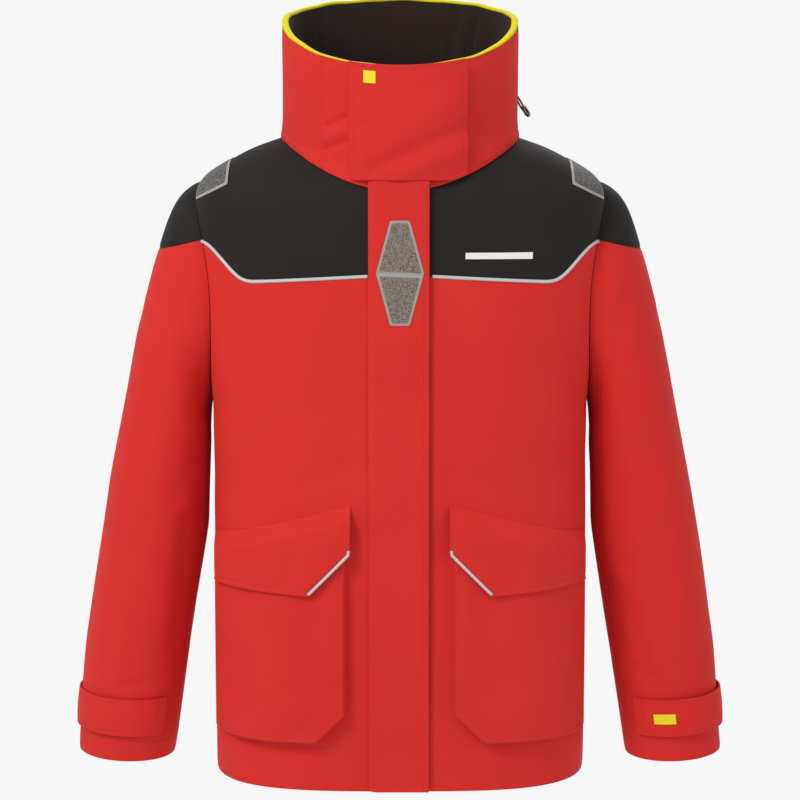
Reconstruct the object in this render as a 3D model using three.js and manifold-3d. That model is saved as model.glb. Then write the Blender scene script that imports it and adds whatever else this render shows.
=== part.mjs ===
// Foul weather jacket for offshore sailing: a long waterproof shell with a high collar, a zipped front
// under a storm flap, two cargo pockets, adjustable cuffs and a hood stowed in the collar.
// Millimetres, +Z up, +X to the wearer's left, the front faces -Y. The jacket hangs from the loop inside
// the back of its neck, and the origin is the middle of that loop's bearing face. While the pieces are
// made, height is measured from the hem.
import * as THREE from "three";
import { mergeVertices } from "three/addons/utils/BufferGeometryUtils.js";
import Module from "manifold-3d";

const wasm = await Module();
wasm.setup();

// ---------------------------------------------------------------- driving dimensions
// Body: half widths and heights above the hem.
const BODY_HALF_WIDTH = 222;
const SHOULDER_OVERHANG = 20; // the shoulder tips stand this far outside the body
const ARMPIT_HEIGHT = 445;
const SHOULDER_HEIGHT = 680; // where the side starts to turn in over the shoulder
const CHEST_HEIGHT = 650; // the front at that turn
const BLADE_HEIGHT = 672; // the back at that turn
const HEM_FRONT_DEPTH = 155;
const BODY_BACK_DEPTH = 138;
const BODY_SQUARENESS = 3.2; // exponent of the body's rounded-box section

// Neck and collar.
const NECK_HALF_WIDTH = 137;
const NECK_CENTRE_Y = -17;
const NECK_FRONT_HEIGHT = 692;
const NECK_SIDE_HEIGHT = 750;
const NECK_BACK_HEIGHT = 768;
const COLLAR_FRONT_HEIGHT = 138;
const COLLAR_SIDE_HEIGHT = 134;
const COLLAR_BACK_HEIGHT = 144;
const COLLAR_TOP_DEPTH = 125; // front of the collar's top edge
const COLLAR_WALL = 6; // from the collar's outside to its lining
const HOOD_ROOM = 14; // extra room for the stowed hood at the back
const HOOD_MARGIN = 16; // from the stowed hood to the collar's seam and top edge
const BINDING_HEIGHT = 3;

// Cloth.
const CLOTH = 2.5; // shell cloth with its backing
const LINING = 1.5;
const GAP = 0.3; // clearance between pieces that touch

// Sleeves.
const ARMHOLE_CENTRE_Y = 3;
const ARMHOLE_HALF_DEPTH = 80;
const ARMHOLE_TOP = 700;
const ARMHOLE_GAP = 0.5;
const SLEEVE_DROP = 687; // shoulder tip to the cuff's outer edge
const SLEEVE_FLARE = 149; // shoulder tip out to the cuff's outer edge
const CUFF_WIDTH = 116;
const CUFF_HALF_DEPTH = 60;
const CUFF_INNER_HEIGHT = 6;
const CUFF_CENTRE_Y = -10;
const CAP_SEAM_HEIGHT = 627;
const CAP_SEAM_SLOPE = 0.25;
const INNER_CUFF_LENGTH = 75;
const INNER_CUFF_RISE = 14; // the inner cuff ends this far inside the sleeve
const INNER_CUFF_STEP = 12;

// Cuff tabs: places round the cuff in degrees from its outer edge, towards the back.
const CUFF_TAB_SEWN = 40;
const CUFF_TAB_FREE = -134;
const CUFF_TAB_BOTTOM = 38;
const CUFF_TAB_TOP = 82;

// Yoke.
const YOKE_CENTRE_HEIGHT = 598;
const YOKE_CORNER_X = 181;
const YOKE_CORNER_HEIGHT = 588;
const YOKE_SIDE_HEIGHT = 632;
const BACK_YOKE_HEIGHT = 600;
const PIPING_WIDTH = 5;
const PIPING_PROUD = 1.7;
const PATCH_INNER_X = 197;
const PATCH_FRONT_Y = -46;
const PATCH_BACK_Y = 52;
const PRINT = 0.8; // thickness of the reflective patches

// Front closure.
const ZIP_HALF_GAP = 9; // front panels' edges on each side of the centre line
const ZIP_BOTTOM = 14;
const ZIP_TOP_MARGIN = 12;
const ZIP_TAPE_HALF = 16;
const ZIP_TAPE = 1;
const CHAIN_OUT = -1.8; // outside of the teeth
const CHAIN_DEPTH = 3;
const CHAIN_HALF = 3;
const CHAIN_SLIT_HALF = 0.8;
const SLIDER_LENGTH = 13;
const SLIDER_HALF = 5.5;
const SLIDER_PLATE = 1.5;
const PULLER_LENGTH = 42;
const STORM_FLAP_HINGE_X = -36;
const STORM_FLAP_FREE_X = 33;
const STORM_FLAP_BOTTOM = 1;
const STORM_FLAP_RAMP = 8;
const FLAP_CLOTH = 2;
const FLAP_ROOM = 4.4; // from the front panels to the inside of the flap over the zip
const FLAP_END_GAP = 0.6; // from the storm flap's top to the throat tab
const REFLECTOR_HEIGHT = 600;
const REFLECTOR_HALF_HEIGHT = 59;
const REFLECTOR_HALF_WIDTH = 27;
const REFLECTOR_END_HALF_WIDTH = 11;
const INNER_FLAP_HALF = 31;
const INNER_FLAP_ROOM = 7.1;

// Throat tab.
const TAB_HINGE_X = -57;
const TAB_FREE_X = 73;
const TAB_BOTTOM = 704;

// Hook-and-loop tape: the loop half on the jacket, then the hook half on the flap.
const TAPE = 1;
const TAPE_STACK = GAP + TAPE + GAP + TAPE + GAP;

// Cargo pockets.
const POCKET_INNER_X = 62;
const POCKET_OUTER_X = 217;
const POCKET_BOTTOM = 57;
const POCKET_CHAMFER = 34;
const POCKET_MOUTH_DEPTH = 9;
const POCKET_DEPTH = 15;
const POCKET_SIDE_DEPTH = 5;
const POCKET_MOUTH_DROP = 24; // pocket mouth below the flap's seam
const FLAP_INNER_X = 57;
const FLAP_SEAM_INNER = 335; // the seam's height at the flap's inner edge
const FLAP_SEAM_OUTER = 292;
const FLAP_INNER_LENGTH = 56;
const FLAP_BOTTOM = 238;
const FLAP_CHAMFER_X = 103;
const FLAP_END_ROOM = 1.2; // the flap's outer end stands off by this much, so that it can lift

// Hood zip.
const HOOD_ZIP_HEIGHT = 797;
const HOOD_ZIP_END = 9; // degrees behind the collar's side
const HOOD_CHAIN_HALF = 2.7;

// Hang loop.
const LOOP_HALF_WIDTH = 32;
const LOOP_STRAP = 1.6;
const LOOP_TALL = 8;
const LOOP_RISE = 2; // above the neck seam
const LOOP_ROOM = 14; // from the lining to the middle of the strap

// ---------------------------------------------------------------- materials
const clothRed = new THREE.MeshStandardMaterial({ color: 0xd8302b, roughness: 0.75 });
const clothBlack = new THREE.MeshStandardMaterial({ color: 0x2a2724, roughness: 0.8 });
const fleece = new THREE.MeshStandardMaterial({ color: 0x231d1b, roughness: 0.95 });
const yellow = new THREE.MeshStandardMaterial({ color: 0xe6d800, roughness: 0.6 });
const reflective = new THREE.MeshStandardMaterial({ color: 0x9a9a96, roughness: 0.4 });
const tapeBlack = new THREE.MeshStandardMaterial({ color: 0x1b1b1c, roughness: 0.9 });
const mould = new THREE.MeshStandardMaterial({ color: 0x202022, roughness: 0.45 });
const metal = new THREE.MeshStandardMaterial({ color: 0xb8babc, roughness: 0.3, metalness: 1 });
const cordBrown = new THREE.MeshStandardMaterial({ color: 0x5a3020, roughness: 0.7 });

// ---------------------------------------------------------------- solids
// A closed geometry as a solid that can be joined and cut.
function solidOf(geometry) {
  const bare = geometry.clone();
  bare.deleteAttribute("normal");
  bare.deleteAttribute("uv");
  const merged = mergeVertices(bare, 1e-4);
  const vertProperties = new Float32Array(merged.attributes.position.array);
  const triVerts = new Uint32Array(merged.index.array);
  return new wasm.Manifold(new wasm.Mesh({ numProp: 3, vertProperties, triVerts }));
}

function geometryOf(solid) {
  const mesh = solid.getMesh();
  const geometry = new THREE.BufferGeometry();
  geometry.setAttribute("position", new THREE.BufferAttribute(mesh.vertProperties, 3));
  geometry.setIndex(new THREE.BufferAttribute(mesh.triVerts, 1));
  geometry.computeVertexNormals();
  return geometry;
}

// The closed solid between two grids of points. Columns run anticlockwise seen from above, or left to
// right seen from outside, and rows run upwards. A wrapped grid closes on itself into a tube.
function clothBetween(columns, rows, outer, inner, wrapped) {
  const across = wrapped ? columns : columns + 1;
  const positions = [];
  for (const side of [outer, inner]) {
    for (let row = 0; row <= rows; row++) {
      for (let column = 0; column < across; column++) positions.push(...side(column, row).toArray());
    }
  }
  const at = (side, column, row) => (side * (rows + 1) + row) * across + (column % across);
  const index = [];
  const quad = (a, b, c, d) => index.push(a, b, c, a, c, d);
  for (let column = 0; column < columns; column++) {
    for (let row = 0; row < rows; row++) {
      quad(at(0, column, row), at(0, column + 1, row), at(0, column + 1, row + 1), at(0, column, row + 1));
      quad(at(1, column, row), at(1, column, row + 1), at(1, column + 1, row + 1), at(1, column + 1, row));
    }
    quad(at(0, column, 0), at(1, column, 0), at(1, column + 1, 0), at(0, column + 1, 0));
    quad(at(0, column, rows), at(0, column + 1, rows), at(1, column + 1, rows), at(1, column, rows));
  }
  for (let row = 0; row < rows && !wrapped; row++) {
    quad(at(0, 0, row), at(0, 0, row + 1), at(1, 0, row + 1), at(1, 0, row));
    quad(at(0, columns, row), at(1, columns, row), at(1, columns, row + 1), at(0, columns, row + 1));
  }
  const geometry = new THREE.BufferGeometry();
  geometry.setAttribute("position", new THREE.Float32BufferAttribute(positions, 3));
  geometry.setIndex(index);
  return solidOf(geometry);
}

// A front-view outline of [x, height] points as a prism through the front half of the jacket.
const REACH = 400; // past the jacket on every side
const SKY = 1200; // above the jacket
function frontPrism(outline, from = -REACH, to = 0) {
  const shape = new THREE.Shape(outline.map(([x, z]) => new THREE.Vector2(x, z)));
  const prism = new THREE.ExtrudeGeometry(shape, { depth: to - from, bevelEnabled: false });
  prism.rotateX(Math.PI / 2);
  prism.translate(0, to, 0);
  return solidOf(prism);
}

function boxBetween(low, high) {
  const size = high.map((value, axis) => value - low[axis]);
  const box = new THREE.BoxGeometry(...size);
  box.translate(...low.map((value, axis) => value + size[axis] / 2));
  return solidOf(box);
}

const joined = (...solids) => solids.reduce((whole, next) => whole.add(next));
const lerp = THREE.MathUtils.lerp;
const smooth = (value, low, high) => THREE.MathUtils.smoothstep(value, low, high);

// ---------------------------------------------------------------- the body's surface
// The centre front is one straight line from the hem to the collar's top, so that the zip runs straight.
const COLLAR_TOP_FRONT = NECK_FRONT_HEIGHT + COLLAR_FRONT_HEIGHT;
const ZIP_LEAN = (HEM_FRONT_DEPTH - COLLAR_TOP_DEPTH) / COLLAR_TOP_FRONT;
const frontY = (height) => -(HEM_FRONT_DEPTH - ZIP_LEAN * height);
const SHOULDER_HALF_WIDTH = BODY_HALF_WIDTH + SHOULDER_OVERHANG;

// Stations up the body. Each is one closed section: heights at its front, side and back, half width,
// centre and back depth, and how square it is.
const stations = [];
for (const height of [0, ARMPIT_HEIGHT]) {
  stations.push({
    front: height, side: height, back: height, half: BODY_HALF_WIDTH,
    centre: 0, backY: BODY_BACK_DEPTH, square: BODY_SQUARENESS,
  });
}
for (const share of [0.4, 0.8, 1]) {
  stations.push({
    front: lerp(ARMPIT_HEIGHT, CHEST_HEIGHT, share),
    side: lerp(ARMPIT_HEIGHT, SHOULDER_HEIGHT, share),
    back: lerp(ARMPIT_HEIGHT, BLADE_HEIGHT, share),
    half: lerp(BODY_HALF_WIDTH, SHOULDER_HALF_WIDTH, share ** 0.75),
    centre: 0, backY: BODY_BACK_DEPTH, square: BODY_SQUARENESS,
  });
}
// The line over the shoulder, as shares of the way in and the way up from the tip to the neck.
for (const [inwards, upwards] of [[0.04, 0.24], [0.15, 0.39], [0.35, 0.57], [0.65, 0.82], [1, 1]]) {
  stations.push({
    front: lerp(CHEST_HEIGHT, NECK_FRONT_HEIGHT, upwards),
    side: lerp(SHOULDER_HEIGHT, NECK_SIDE_HEIGHT, upwards),
    back: lerp(BLADE_HEIGHT, NECK_BACK_HEIGHT, upwards),
    half: lerp(SHOULDER_HALF_WIDTH, NECK_HALF_WIDTH, inwards),
    centre: lerp(0, NECK_CENTRE_Y, inwards),
    backY: lerp(BODY_BACK_DEPTH, NECK_CENTRE_Y + NECK_HALF_WIDTH, inwards),
    square: lerp(BODY_SQUARENESS, 2, inwards),
  });
}
const TOP_STATION = stations.length - 1;
const BODY_COLUMNS = 40;
const columnAngle = (column) => (column * 2 * Math.PI) / BODY_COLUMNS;

function stationAt(level) {
  const below = Math.min(Math.floor(level), TOP_STATION - 1);
  const share = level - below;
  const mixed = {};
  for (const key of Object.keys(stations[0])) {
    mixed[key] = lerp(stations[below][key], stations[below + 1][key], share);
  }
  return mixed;
}

function onBody(angle, level) {
  const at = stationAt(level);
  const power = 2 / at.square;
  const across = Math.sign(Math.cos(angle)) * Math.abs(Math.cos(angle)) ** power;
  const along = Math.abs(Math.sin(angle)) ** power;
  const inFront = Math.sin(angle) < 0;
  const z = lerp(inFront ? at.front : at.back, at.side, across * across);
  const farY = inFront ? frontY(z) : at.backY;
  return new THREE.Vector3(at.half * across, lerp(at.centre, farY, along), z);
}

function bodyOutward(angle, level) {
  const step = 0.02;
  const turn = onBody(angle + step, level).sub(onBody(angle - step, level));
  const low = Math.max(level - step, 0);
  const high = Math.min(level + step, TOP_STATION);
  const rise = onBody(angle, high).sub(onBody(angle, low));
  return turn.cross(rise).normalize();
}

const offBody = (angle, level, out) =>
  onBody(angle, level).addScaledVector(bodyOutward(angle, level), out);

// Cloth all round the body, between two distances from its outside.
function bodyLayer(from, to, bottom = 0, top = TOP_STATION) {
  const levels = [bottom];
  for (let level = Math.floor(bottom) + 1; level < top; level++) levels.push(level);
  levels.push(top);
  const at = (out) => (column, row) => offBody(columnAngle(column), levels[row], out);
  return clothBetween(BODY_COLUMNS, levels.length - 1, at(to), at(from), true);
}

// Cloth over the front of the wearer's left half below the armpit. Its rows have a height at each
// distance from the centre line, and its two sides have a distance from the body at each point.
const levelOfHeight = (height) => height / ARMPIT_HEIGHT;
function frontLayer(rows, heightAt, from, to) {
  const columns = BODY_COLUMNS / 4;
  const at = (out) => (column, row) => {
    const angle = columnAngle(3 * columns + column);
    const x = onBody(angle, 0).x;
    const z = heightAt(x, row);
    return offBody(angle, levelOfHeight(z), out(x, z));
  };
  return clothBetween(columns, rows, at(to), at(from), false);
}

// ---------------------------------------------------------------- the group
const jacket = new THREE.Group();
function add(name, solid, material) {
  const mesh = new THREE.Mesh(geometryOf(solid), material);
  mesh.name = name;
  jacket.add(mesh);
  return mesh;
}
// A piece on the wearer's left and its mirror image on the right.
function addPair(name, solid, material) {
  add(`${name}_left`, solid, material);
  add(`${name}_right`, solid, material).scale.x = -1;
}

// ---------------------------------------------------------------- body panels
const SLEEVE_COLUMNS = 24;
const ARMHOLE_HALF_HEIGHT = (ARMHOLE_TOP - ARMPIT_HEIGHT) / 2;
const ARMHOLE_CENTRE_HEIGHT = (ARMHOLE_TOP + ARMPIT_HEIGHT) / 2;
const armholePlug = (side, room) => {
  const length = REACH - NECK_HALF_WIDTH;
  const plug = new THREE.CylinderGeometry(1, 1, length, SLEEVE_COLUMNS);
  plug.rotateZ(Math.PI / 2);
  plug.scale(1, ARMHOLE_HALF_HEIGHT + room, ARMHOLE_HALF_DEPTH + room);
  plug.rotateX(Math.PI / 2);
  plug.translate(side * (NECK_HALF_WIDTH + length / 2), ARMHOLE_CENTRE_Y, ARMHOLE_CENTRE_HEIGHT);
  return solidOf(plug);
};
const armholes = joined(armholePlug(-1, 0), armholePlug(1, 0));
const half = GAP / 2;

const shell = bodyLayer(-CLOTH, 0).subtract(armholes);
const yokeLine = (shift) => [
  [0, YOKE_CENTRE_HEIGHT + shift],
  [YOKE_CORNER_X, YOKE_CORNER_HEIGHT + shift],
  [BODY_HALF_WIDTH, YOKE_SIDE_HEIGHT + shift],
  [REACH, YOKE_SIDE_HEIGHT + shift],
];
const belowYoke = frontPrism([...yokeLine(-half), [REACH, -1], [0, -1]]);
const aboveYoke = frontPrism([...yokeLine(half), [REACH, SKY], [0, SKY]]);
const frontHalf = shell.trimByPlane([0, -1, 0], half).trimByPlane([1, 0, 0], ZIP_HALF_GAP);
addPair("front_panel", frontHalf.intersect(belowYoke), clothRed);
addPair("front_yoke", frontHalf.intersect(aboveYoke), clothBlack);
const backHalf = shell.trimByPlane([0, 1, 0], half);
add("back_panel", backHalf.trimByPlane([0, 0, -1], -(BACK_YOKE_HEIGHT - half)), clothRed);
add("back_yoke", backHalf.trimByPlane([0, 0, 1], BACK_YOKE_HEIGHT + half), clothBlack);

// Reflective piping along the yoke seam, from the edge of the storm flap to the armhole.
const pipingBand = frontPrism([
  ...yokeLine(-PIPING_WIDTH / 2).slice(0, 3),
  ...yokeLine(PIPING_WIDTH / 2).slice(0, 3).reverse(),
]);
const proud = bodyLayer(GAP, GAP + PIPING_PROUD, 1, 4).subtract(armholes);
const pipingStart = Math.max(-STORM_FLAP_HINGE_X, STORM_FLAP_FREE_X) + GAP;
addPair("yoke_piping", proud.intersect(pipingBand).trimByPlane([1, 0, 0], pipingStart), reflective);

// Reflective patch over the end of each shoulder, up to the armhole.
const shoulderTop = boxBetween(
  [PATCH_INNER_X, PATCH_FRONT_Y, SHOULDER_HEIGHT - 40],
  [SHOULDER_HALF_WIDTH + 20, PATCH_BACK_Y, NECK_SIDE_HEIGHT],
);
const patchLayer = bodyLayer(GAP, GAP + PRINT, 2, TOP_STATION - 1).subtract(armholePlug(1, 6));
addPair("shoulder_patch", patchLayer.intersect(shoulderTop), reflective);

// Lining inside the body, open down the front behind the zip.
const LINING_BOTTOM = 22;
const LINING_OUT = -CLOTH - 2 * GAP;
const lining = bodyLayer(LINING_OUT - LINING, LINING_OUT, levelOfHeight(LINING_BOTTOM), TOP_STATION - 0.3);
const frontOpening = boxBetween(
  [STORM_FLAP_HINGE_X - GAP, -REACH, 0],
  [-STORM_FLAP_HINGE_X + GAP, 0, SKY],
);
add("body_lining", lining.subtract(armholes).subtract(frontOpening), fleece);

// ---------------------------------------------------------------- collar
const collarBase = (angle) =>
  lerp(Math.sin(angle) < 0 ? NECK_FRONT_HEIGHT : NECK_BACK_HEIGHT, NECK_SIDE_HEIGHT, Math.cos(angle) ** 2);
const collarSideTop = NECK_SIDE_HEIGHT + COLLAR_SIDE_HEIGHT;
const collarFrontTop = NECK_FRONT_HEIGHT + COLLAR_FRONT_HEIGHT;
const collarBackTop = NECK_BACK_HEIGHT + COLLAR_BACK_HEIGHT;
const collarLow = (angle) => collarBase(angle) + GAP;
const collarHigh = (angle) =>
  lerp(collarSideTop, Math.sin(angle) < 0 ? collarFrontTop : collarBackTop, Math.abs(Math.sin(angle)));
const collarRise = (angle) => collarHigh(angle) - collarBase(angle);

// A point round the collar at a height, a distance outside its shell. The back half is round in plan,
// so that the hood zip's slider runs on a true circle.
function onCollar(angle, z, out) {
  const depth = Math.sin(angle) < 0 ? NECK_CENTRE_Y - frontY(z) : NECK_HALF_WIDTH;
  const outward = new THREE.Vector2(Math.cos(angle) / NECK_HALF_WIDTH, Math.sin(angle) / depth).normalize();
  return new THREE.Vector3(
    NECK_HALF_WIDTH * Math.cos(angle) + outward.x * out,
    NECK_CENTRE_Y + depth * Math.sin(angle) + outward.y * out,
    z,
  );
}
const evenly = (from, to, count) => Array.from({ length: count + 1 }, (_, i) => lerp(from, to, i / count));
const always = (value) => () => value;

// Cloth round the collar through a list of angles, between two heights and two distances.
function collarLayer(angles, rows, low, high, from, to) {
  const wrapped = angles.at(-1) - angles[0] > 2 * Math.PI - 0.01;
  const at = (out) => (column, row) => {
    const angle = angles[column];
    const share = row / rows;
    return onCollar(angle, lerp(low(angle), high(angle), share), out(angle, share));
  };
  return clothBetween(angles.length - 1, rows, at(to), at(from), wrapped);
}
const COLLAR_COLUMNS = 40;
const allRound = evenly(0, 2 * Math.PI, COLLAR_COLUMNS);
const collarShell = collarLayer(allRound, 1, collarLow, collarHigh, always(-CLOTH), always(0));
const hoodZipAngles = evenly(0, Math.PI, COLLAR_COLUMNS / 2).slice(1, -1);
function hoodZipLayer(low, high, from, to) {
  const height = (z) => always(HOOD_ZIP_HEIGHT + z);
  return collarLayer(hoodZipAngles, 1, height(low), height(high), always(from), always(to));
}
const slotHalf = HOOD_CHAIN_HALF + GAP;
const hoodSlot = hoodZipLayer(-slotHalf, slotHalf, -CLOTH - 1, 1);
const collarFront = collarShell.trimByPlane([0, -1, 0], -NECK_CENTRE_Y + half);
addPair("collar", collarFront.trimByPlane([1, 0, 0], ZIP_HALF_GAP), clothRed);
add("collar_back", collarShell.trimByPlane([0, 1, 0], NECK_CENTRE_Y + half).subtract(hoodSlot), clothRed);

// Fleece lining, set further in at the back half way up, where the hood is stowed.
const liningOut = (angle, share) =>
  -COLLAR_WALL - HOOD_ROOM * Math.max(0, Math.sin(angle)) * Math.sin(Math.PI * share);
const collarLining = collarLayer(
  allRound, 4, collarLow, collarHigh, (angle, share) => liningOut(angle, share) - LINING, liningOut,
);
const collarOpening = boxBetween([-ZIP_HALF_GAP, -REACH, 0], [ZIP_HALF_GAP, NECK_CENTRE_Y, SKY]);
add("collar_lining", collarLining.subtract(collarOpening), fleece);

// Bright binding round the collar's top edge.
const bindingLow = (angle) => collarHigh(angle) + GAP;
const bindingHigh = (angle) => bindingLow(angle) + BINDING_HEIGHT;
const binding = collarLayer(allRound, 1, bindingLow, bindingHigh, always(-COLLAR_WALL - LINING), always(0));
add("collar_binding", binding.subtract(collarOpening), yellow);

// The hood, rolled flat between the collar's shell and its lining.
const HOOD_OUT = -COLLAR_WALL - 1.2;
const hoodLow = (angle) => collarBase(angle) + HOOD_MARGIN;
const hoodHigh = (angle) => collarHigh(angle) - HOOD_MARGIN;
const hoodInside = (angle, share) => {
  const rise = lerp(HOOD_MARGIN, collarRise(angle) - HOOD_MARGIN, share);
  return Math.min(liningOut(angle, rise / collarRise(angle)) + 1.2, HOOD_OUT - 0.3);
};
const hoodAngles = evenly(0, Math.PI, COLLAR_COLUMNS / 2).slice(4, -4);
add("stowed_hood", collarLayer(hoodAngles, 4, hoodLow, hoodHigh, hoodInside, always(HOOD_OUT)), yellow);

// Coil zip round the collar's back, with its slider parked at the wearer's left end.
const COIL_DEPTH = 2;
const HOOD_SLIT_HALF = 0.8;
const coil = (low, high) => hoodZipLayer(low, high, -CLOTH, -CLOTH + COIL_DEPTH);
add("hood_zip_chain_upper", coil(HOOD_SLIT_HALF, HOOD_CHAIN_HALF), mould);
add("hood_zip_chain_lower", coil(-HOOD_CHAIN_HALF, -HOOD_SLIT_HALF), mould);

// The slider is made at the collar's side, then turned round to the end of the zip.
const HOOD_SLIDER_HALF = 4.5;
const PLATE = 1.2;
const RUN = 0.6; // running clearance of the slider over the chain
const atHoodSlider = (solid) =>
  solid.rotate([0, 0, HOOD_ZIP_END + 4]).translate([0, NECK_CENTRE_Y, HOOD_ZIP_HEIGHT]);
const radial = (from, to, halfLength, low, high) =>
  boxBetween([NECK_HALF_WIDTH + from, -halfLength, low], [NECK_HALF_WIDTH + to, halfLength, high]);
const outerPlate = RUN;
const innerPlate = -CLOTH - RUN;
const hoodSlider = joined(
  radial(outerPlate, outerPlate + PLATE, HOOD_SLIDER_HALF, -slotHalf, slotHalf),
  radial(innerPlate - PLATE, innerPlate, HOOD_SLIDER_HALF, -slotHalf, slotHalf),
  radial(innerPlate - 0.1, outerPlate + 0.1, HOOD_SLIDER_HALF - 1, -0.5, 0.5),
  radial(outerPlate + PLATE - 0.1, outerPlate + PLATE + 2, 1, -1.1, 1.1),
);
add("hood_zip_slider", atHoodSlider(hoodSlider), metal);

// Its puller is a loop of cord that hangs from the slider.
const HOOD_PULLER_LENGTH = 26;
const HOOD_PULLER_HALF = 3;
const pullerOut = outerPlate + PLATE + 0.5;
const pullerRing = radial(pullerOut, pullerOut + 2.4, HOOD_PULLER_HALF, -HOOD_PULLER_LENGTH, 3.6);
const pullerHole = radial(pullerOut - 1, pullerOut + 4, 1.5, -HOOD_PULLER_LENGTH + 2, 2);
add("hood_zip_puller", atHoodSlider(pullerRing.subtract(pullerHole)), cordBrown);

// Hanging loop inside the back of the neck, sewn at its ends and standing off in the middle.
const loopAngle = Math.asin(LOOP_HALF_WIDTH / NECK_HALF_WIDTH);
const loopLow = NECK_BACK_HEIGHT + LOOP_RISE;
const loopOut = (angle, share) => {
  const rise = LOOP_RISE + LOOP_TALL * share;
  const place = (angle - Math.PI / 2) / loopAngle;
  const behind = liningOut(angle, rise / COLLAR_BACK_HEIGHT) - LINING - 3 * GAP;
  return behind - LOOP_ROOM * Math.cos((place * Math.PI) / 2);
};
add("hang_loop", collarLayer(
  evenly(Math.PI / 2 - loopAngle, Math.PI / 2 + loopAngle, 8), 1,
  always(loopLow), always(loopLow + LOOP_TALL),
  (angle) => loopOut(angle, 1) - LOOP_STRAP, (angle) => loopOut(angle, 1),
), tapeBlack);

// ---------------------------------------------------------------- main zip
// A plan section of [x, distance outside the front panels] points, run up the centre front.
function upTheFront(section, low, high) {
  const shape = new THREE.Shape(section.map(([x, out]) => new THREE.Vector2(x, -out)));
  const run = new THREE.ExtrudeGeometry(shape, { depth: high - low, bevelEnabled: false });
  run.translate(0, 0, low);
  const lean = new THREE.Matrix4().makeShear(0, 0, 0, 0, 0, 0);
  lean.elements[9] = ZIP_LEAN;
  lean.elements[13] = -HEM_FRONT_DEPTH;
  return solidOf(run.applyMatrix4(lean));
}
const slab = (x0, x1, out0, out1) => [[x0, out0], [x1, out0], [x1, out1], [x0, out1]];
const zipTop = COLLAR_TOP_FRONT - ZIP_TOP_MARGIN;
// The collar's front curves back most, so the tape lies behind it there.
const collarStep = (2 * Math.PI) / COLLAR_COLUMNS;
const collarFall = ((NECK_CENTRE_Y - frontY(NECK_FRONT_HEIGHT)) * Math.tan(collarStep / 2)) / NECK_HALF_WIDTH;
const tapeOut = -CLOTH - GAP - collarFall * ZIP_TAPE_HALF;
const tapeStart = CHAIN_HALF + GAP;
addPair("zip_tape", upTheFront(
  slab(tapeStart, ZIP_TAPE_HALF, tapeOut - ZIP_TAPE, tapeOut), ZIP_BOTTOM, zipTop,
), tapeBlack);
addPair("zip_chain", upTheFront(
  slab(CHAIN_SLIT_HALF, CHAIN_HALF, CHAIN_OUT - CHAIN_DEPTH, CHAIN_OUT), ZIP_BOTTOM, zipTop,
), mould);
const BOX_LENGTH = 9;
add("zip_box", upTheFront(
  slab(-SLIDER_HALF, SLIDER_HALF, CHAIN_OUT - CHAIN_DEPTH, CHAIN_OUT),
  ZIP_BOTTOM - GAP - BOX_LENGTH, ZIP_BOTTOM - GAP,
), mould);

// Slider, closed at the top of the zip, and its puller lying down the front.
const sliderTop = zipTop - 2;
const sliderLow = sliderTop - SLIDER_LENGTH;
const plateIn = CHAIN_OUT + GAP;
const plateBack = CHAIN_OUT - CHAIN_DEPTH - GAP;
const CROWN = 1.5;
const mainSlider = joined(
  upTheFront(slab(-SLIDER_HALF, SLIDER_HALF, plateIn, plateIn + SLIDER_PLATE), sliderLow, sliderTop),
  upTheFront(slab(-SLIDER_HALF, SLIDER_HALF, plateBack - SLIDER_PLATE, plateBack), sliderLow, sliderTop),
  upTheFront(slab(-0.5, 0.5, plateBack - 0.1, plateIn + 0.1), sliderLow + 2, sliderTop - 2),
  upTheFront(slab(-1.5, 1.5, plateIn + SLIDER_PLATE - 0.1, plateIn + SLIDER_PLATE + CROWN), sliderLow + 3, sliderTop - 2),
);
add("main_zip_slider", mainSlider, metal);
const pullIn = plateIn + SLIDER_PLATE + CROWN + GAP;
const PULLER = 1.7;
add("main_zip_puller", upTheFront(
  slab(-3.5, 3.5, pullIn, pullIn + PULLER), sliderTop - PULLER_LENGTH, sliderTop - 3,
), mould);

// Inner storm flap behind the zip, sewn inside the wearer's right front.
const innerTop = CHEST_HEIGHT - 10;
const sewnOut = -CLOTH - GAP - 0.7;
add("inner_storm_flap", upTheFront([
  [-INNER_FLAP_HALF - 3, sewnOut], [-INNER_FLAP_HALF, sewnOut],
  [-INNER_FLAP_HALF + 6, -INNER_FLAP_ROOM], [INNER_FLAP_HALF, -INNER_FLAP_ROOM],
  [INNER_FLAP_HALF, -INNER_FLAP_ROOM - FLAP_CLOTH], [-INNER_FLAP_HALF + 5, -INNER_FLAP_ROOM - FLAP_CLOTH],
  [-INNER_FLAP_HALF - 3, sewnOut - FLAP_CLOTH],
], ZIP_BOTTOM, innerTop), clothRed);

// ---------------------------------------------------------------- storm flap
const flapTop = TAB_BOTTOM - FLAP_END_GAP;
const rampEnd = STORM_FLAP_HINGE_X + STORM_FLAP_RAMP;
add("storm_flap", upTheFront([
  [STORM_FLAP_HINGE_X, GAP], [rampEnd, FLAP_ROOM], [STORM_FLAP_FREE_X, FLAP_ROOM],
  [STORM_FLAP_FREE_X, FLAP_ROOM + FLAP_CLOTH], [rampEnd - 1, FLAP_ROOM + FLAP_CLOTH],
  [STORM_FLAP_HINGE_X, GAP + FLAP_CLOTH],
], STORM_FLAP_BOTTOM, flapTop), clothRed);
const stripFrom = STORM_FLAP_FREE_X - 16;
const stripTo = STORM_FLAP_FREE_X - 4;
const closureTape = (FLAP_ROOM - 3 * GAP) / 2;
const stripLow = STORM_FLAP_BOTTOM + 20;
const stripHigh = NECK_FRONT_HEIGHT - 20;
add("storm_flap_loop_tape", upTheFront(
  slab(stripFrom, stripTo, GAP, GAP + closureTape), stripLow, stripHigh,
), tapeBlack);
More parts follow.
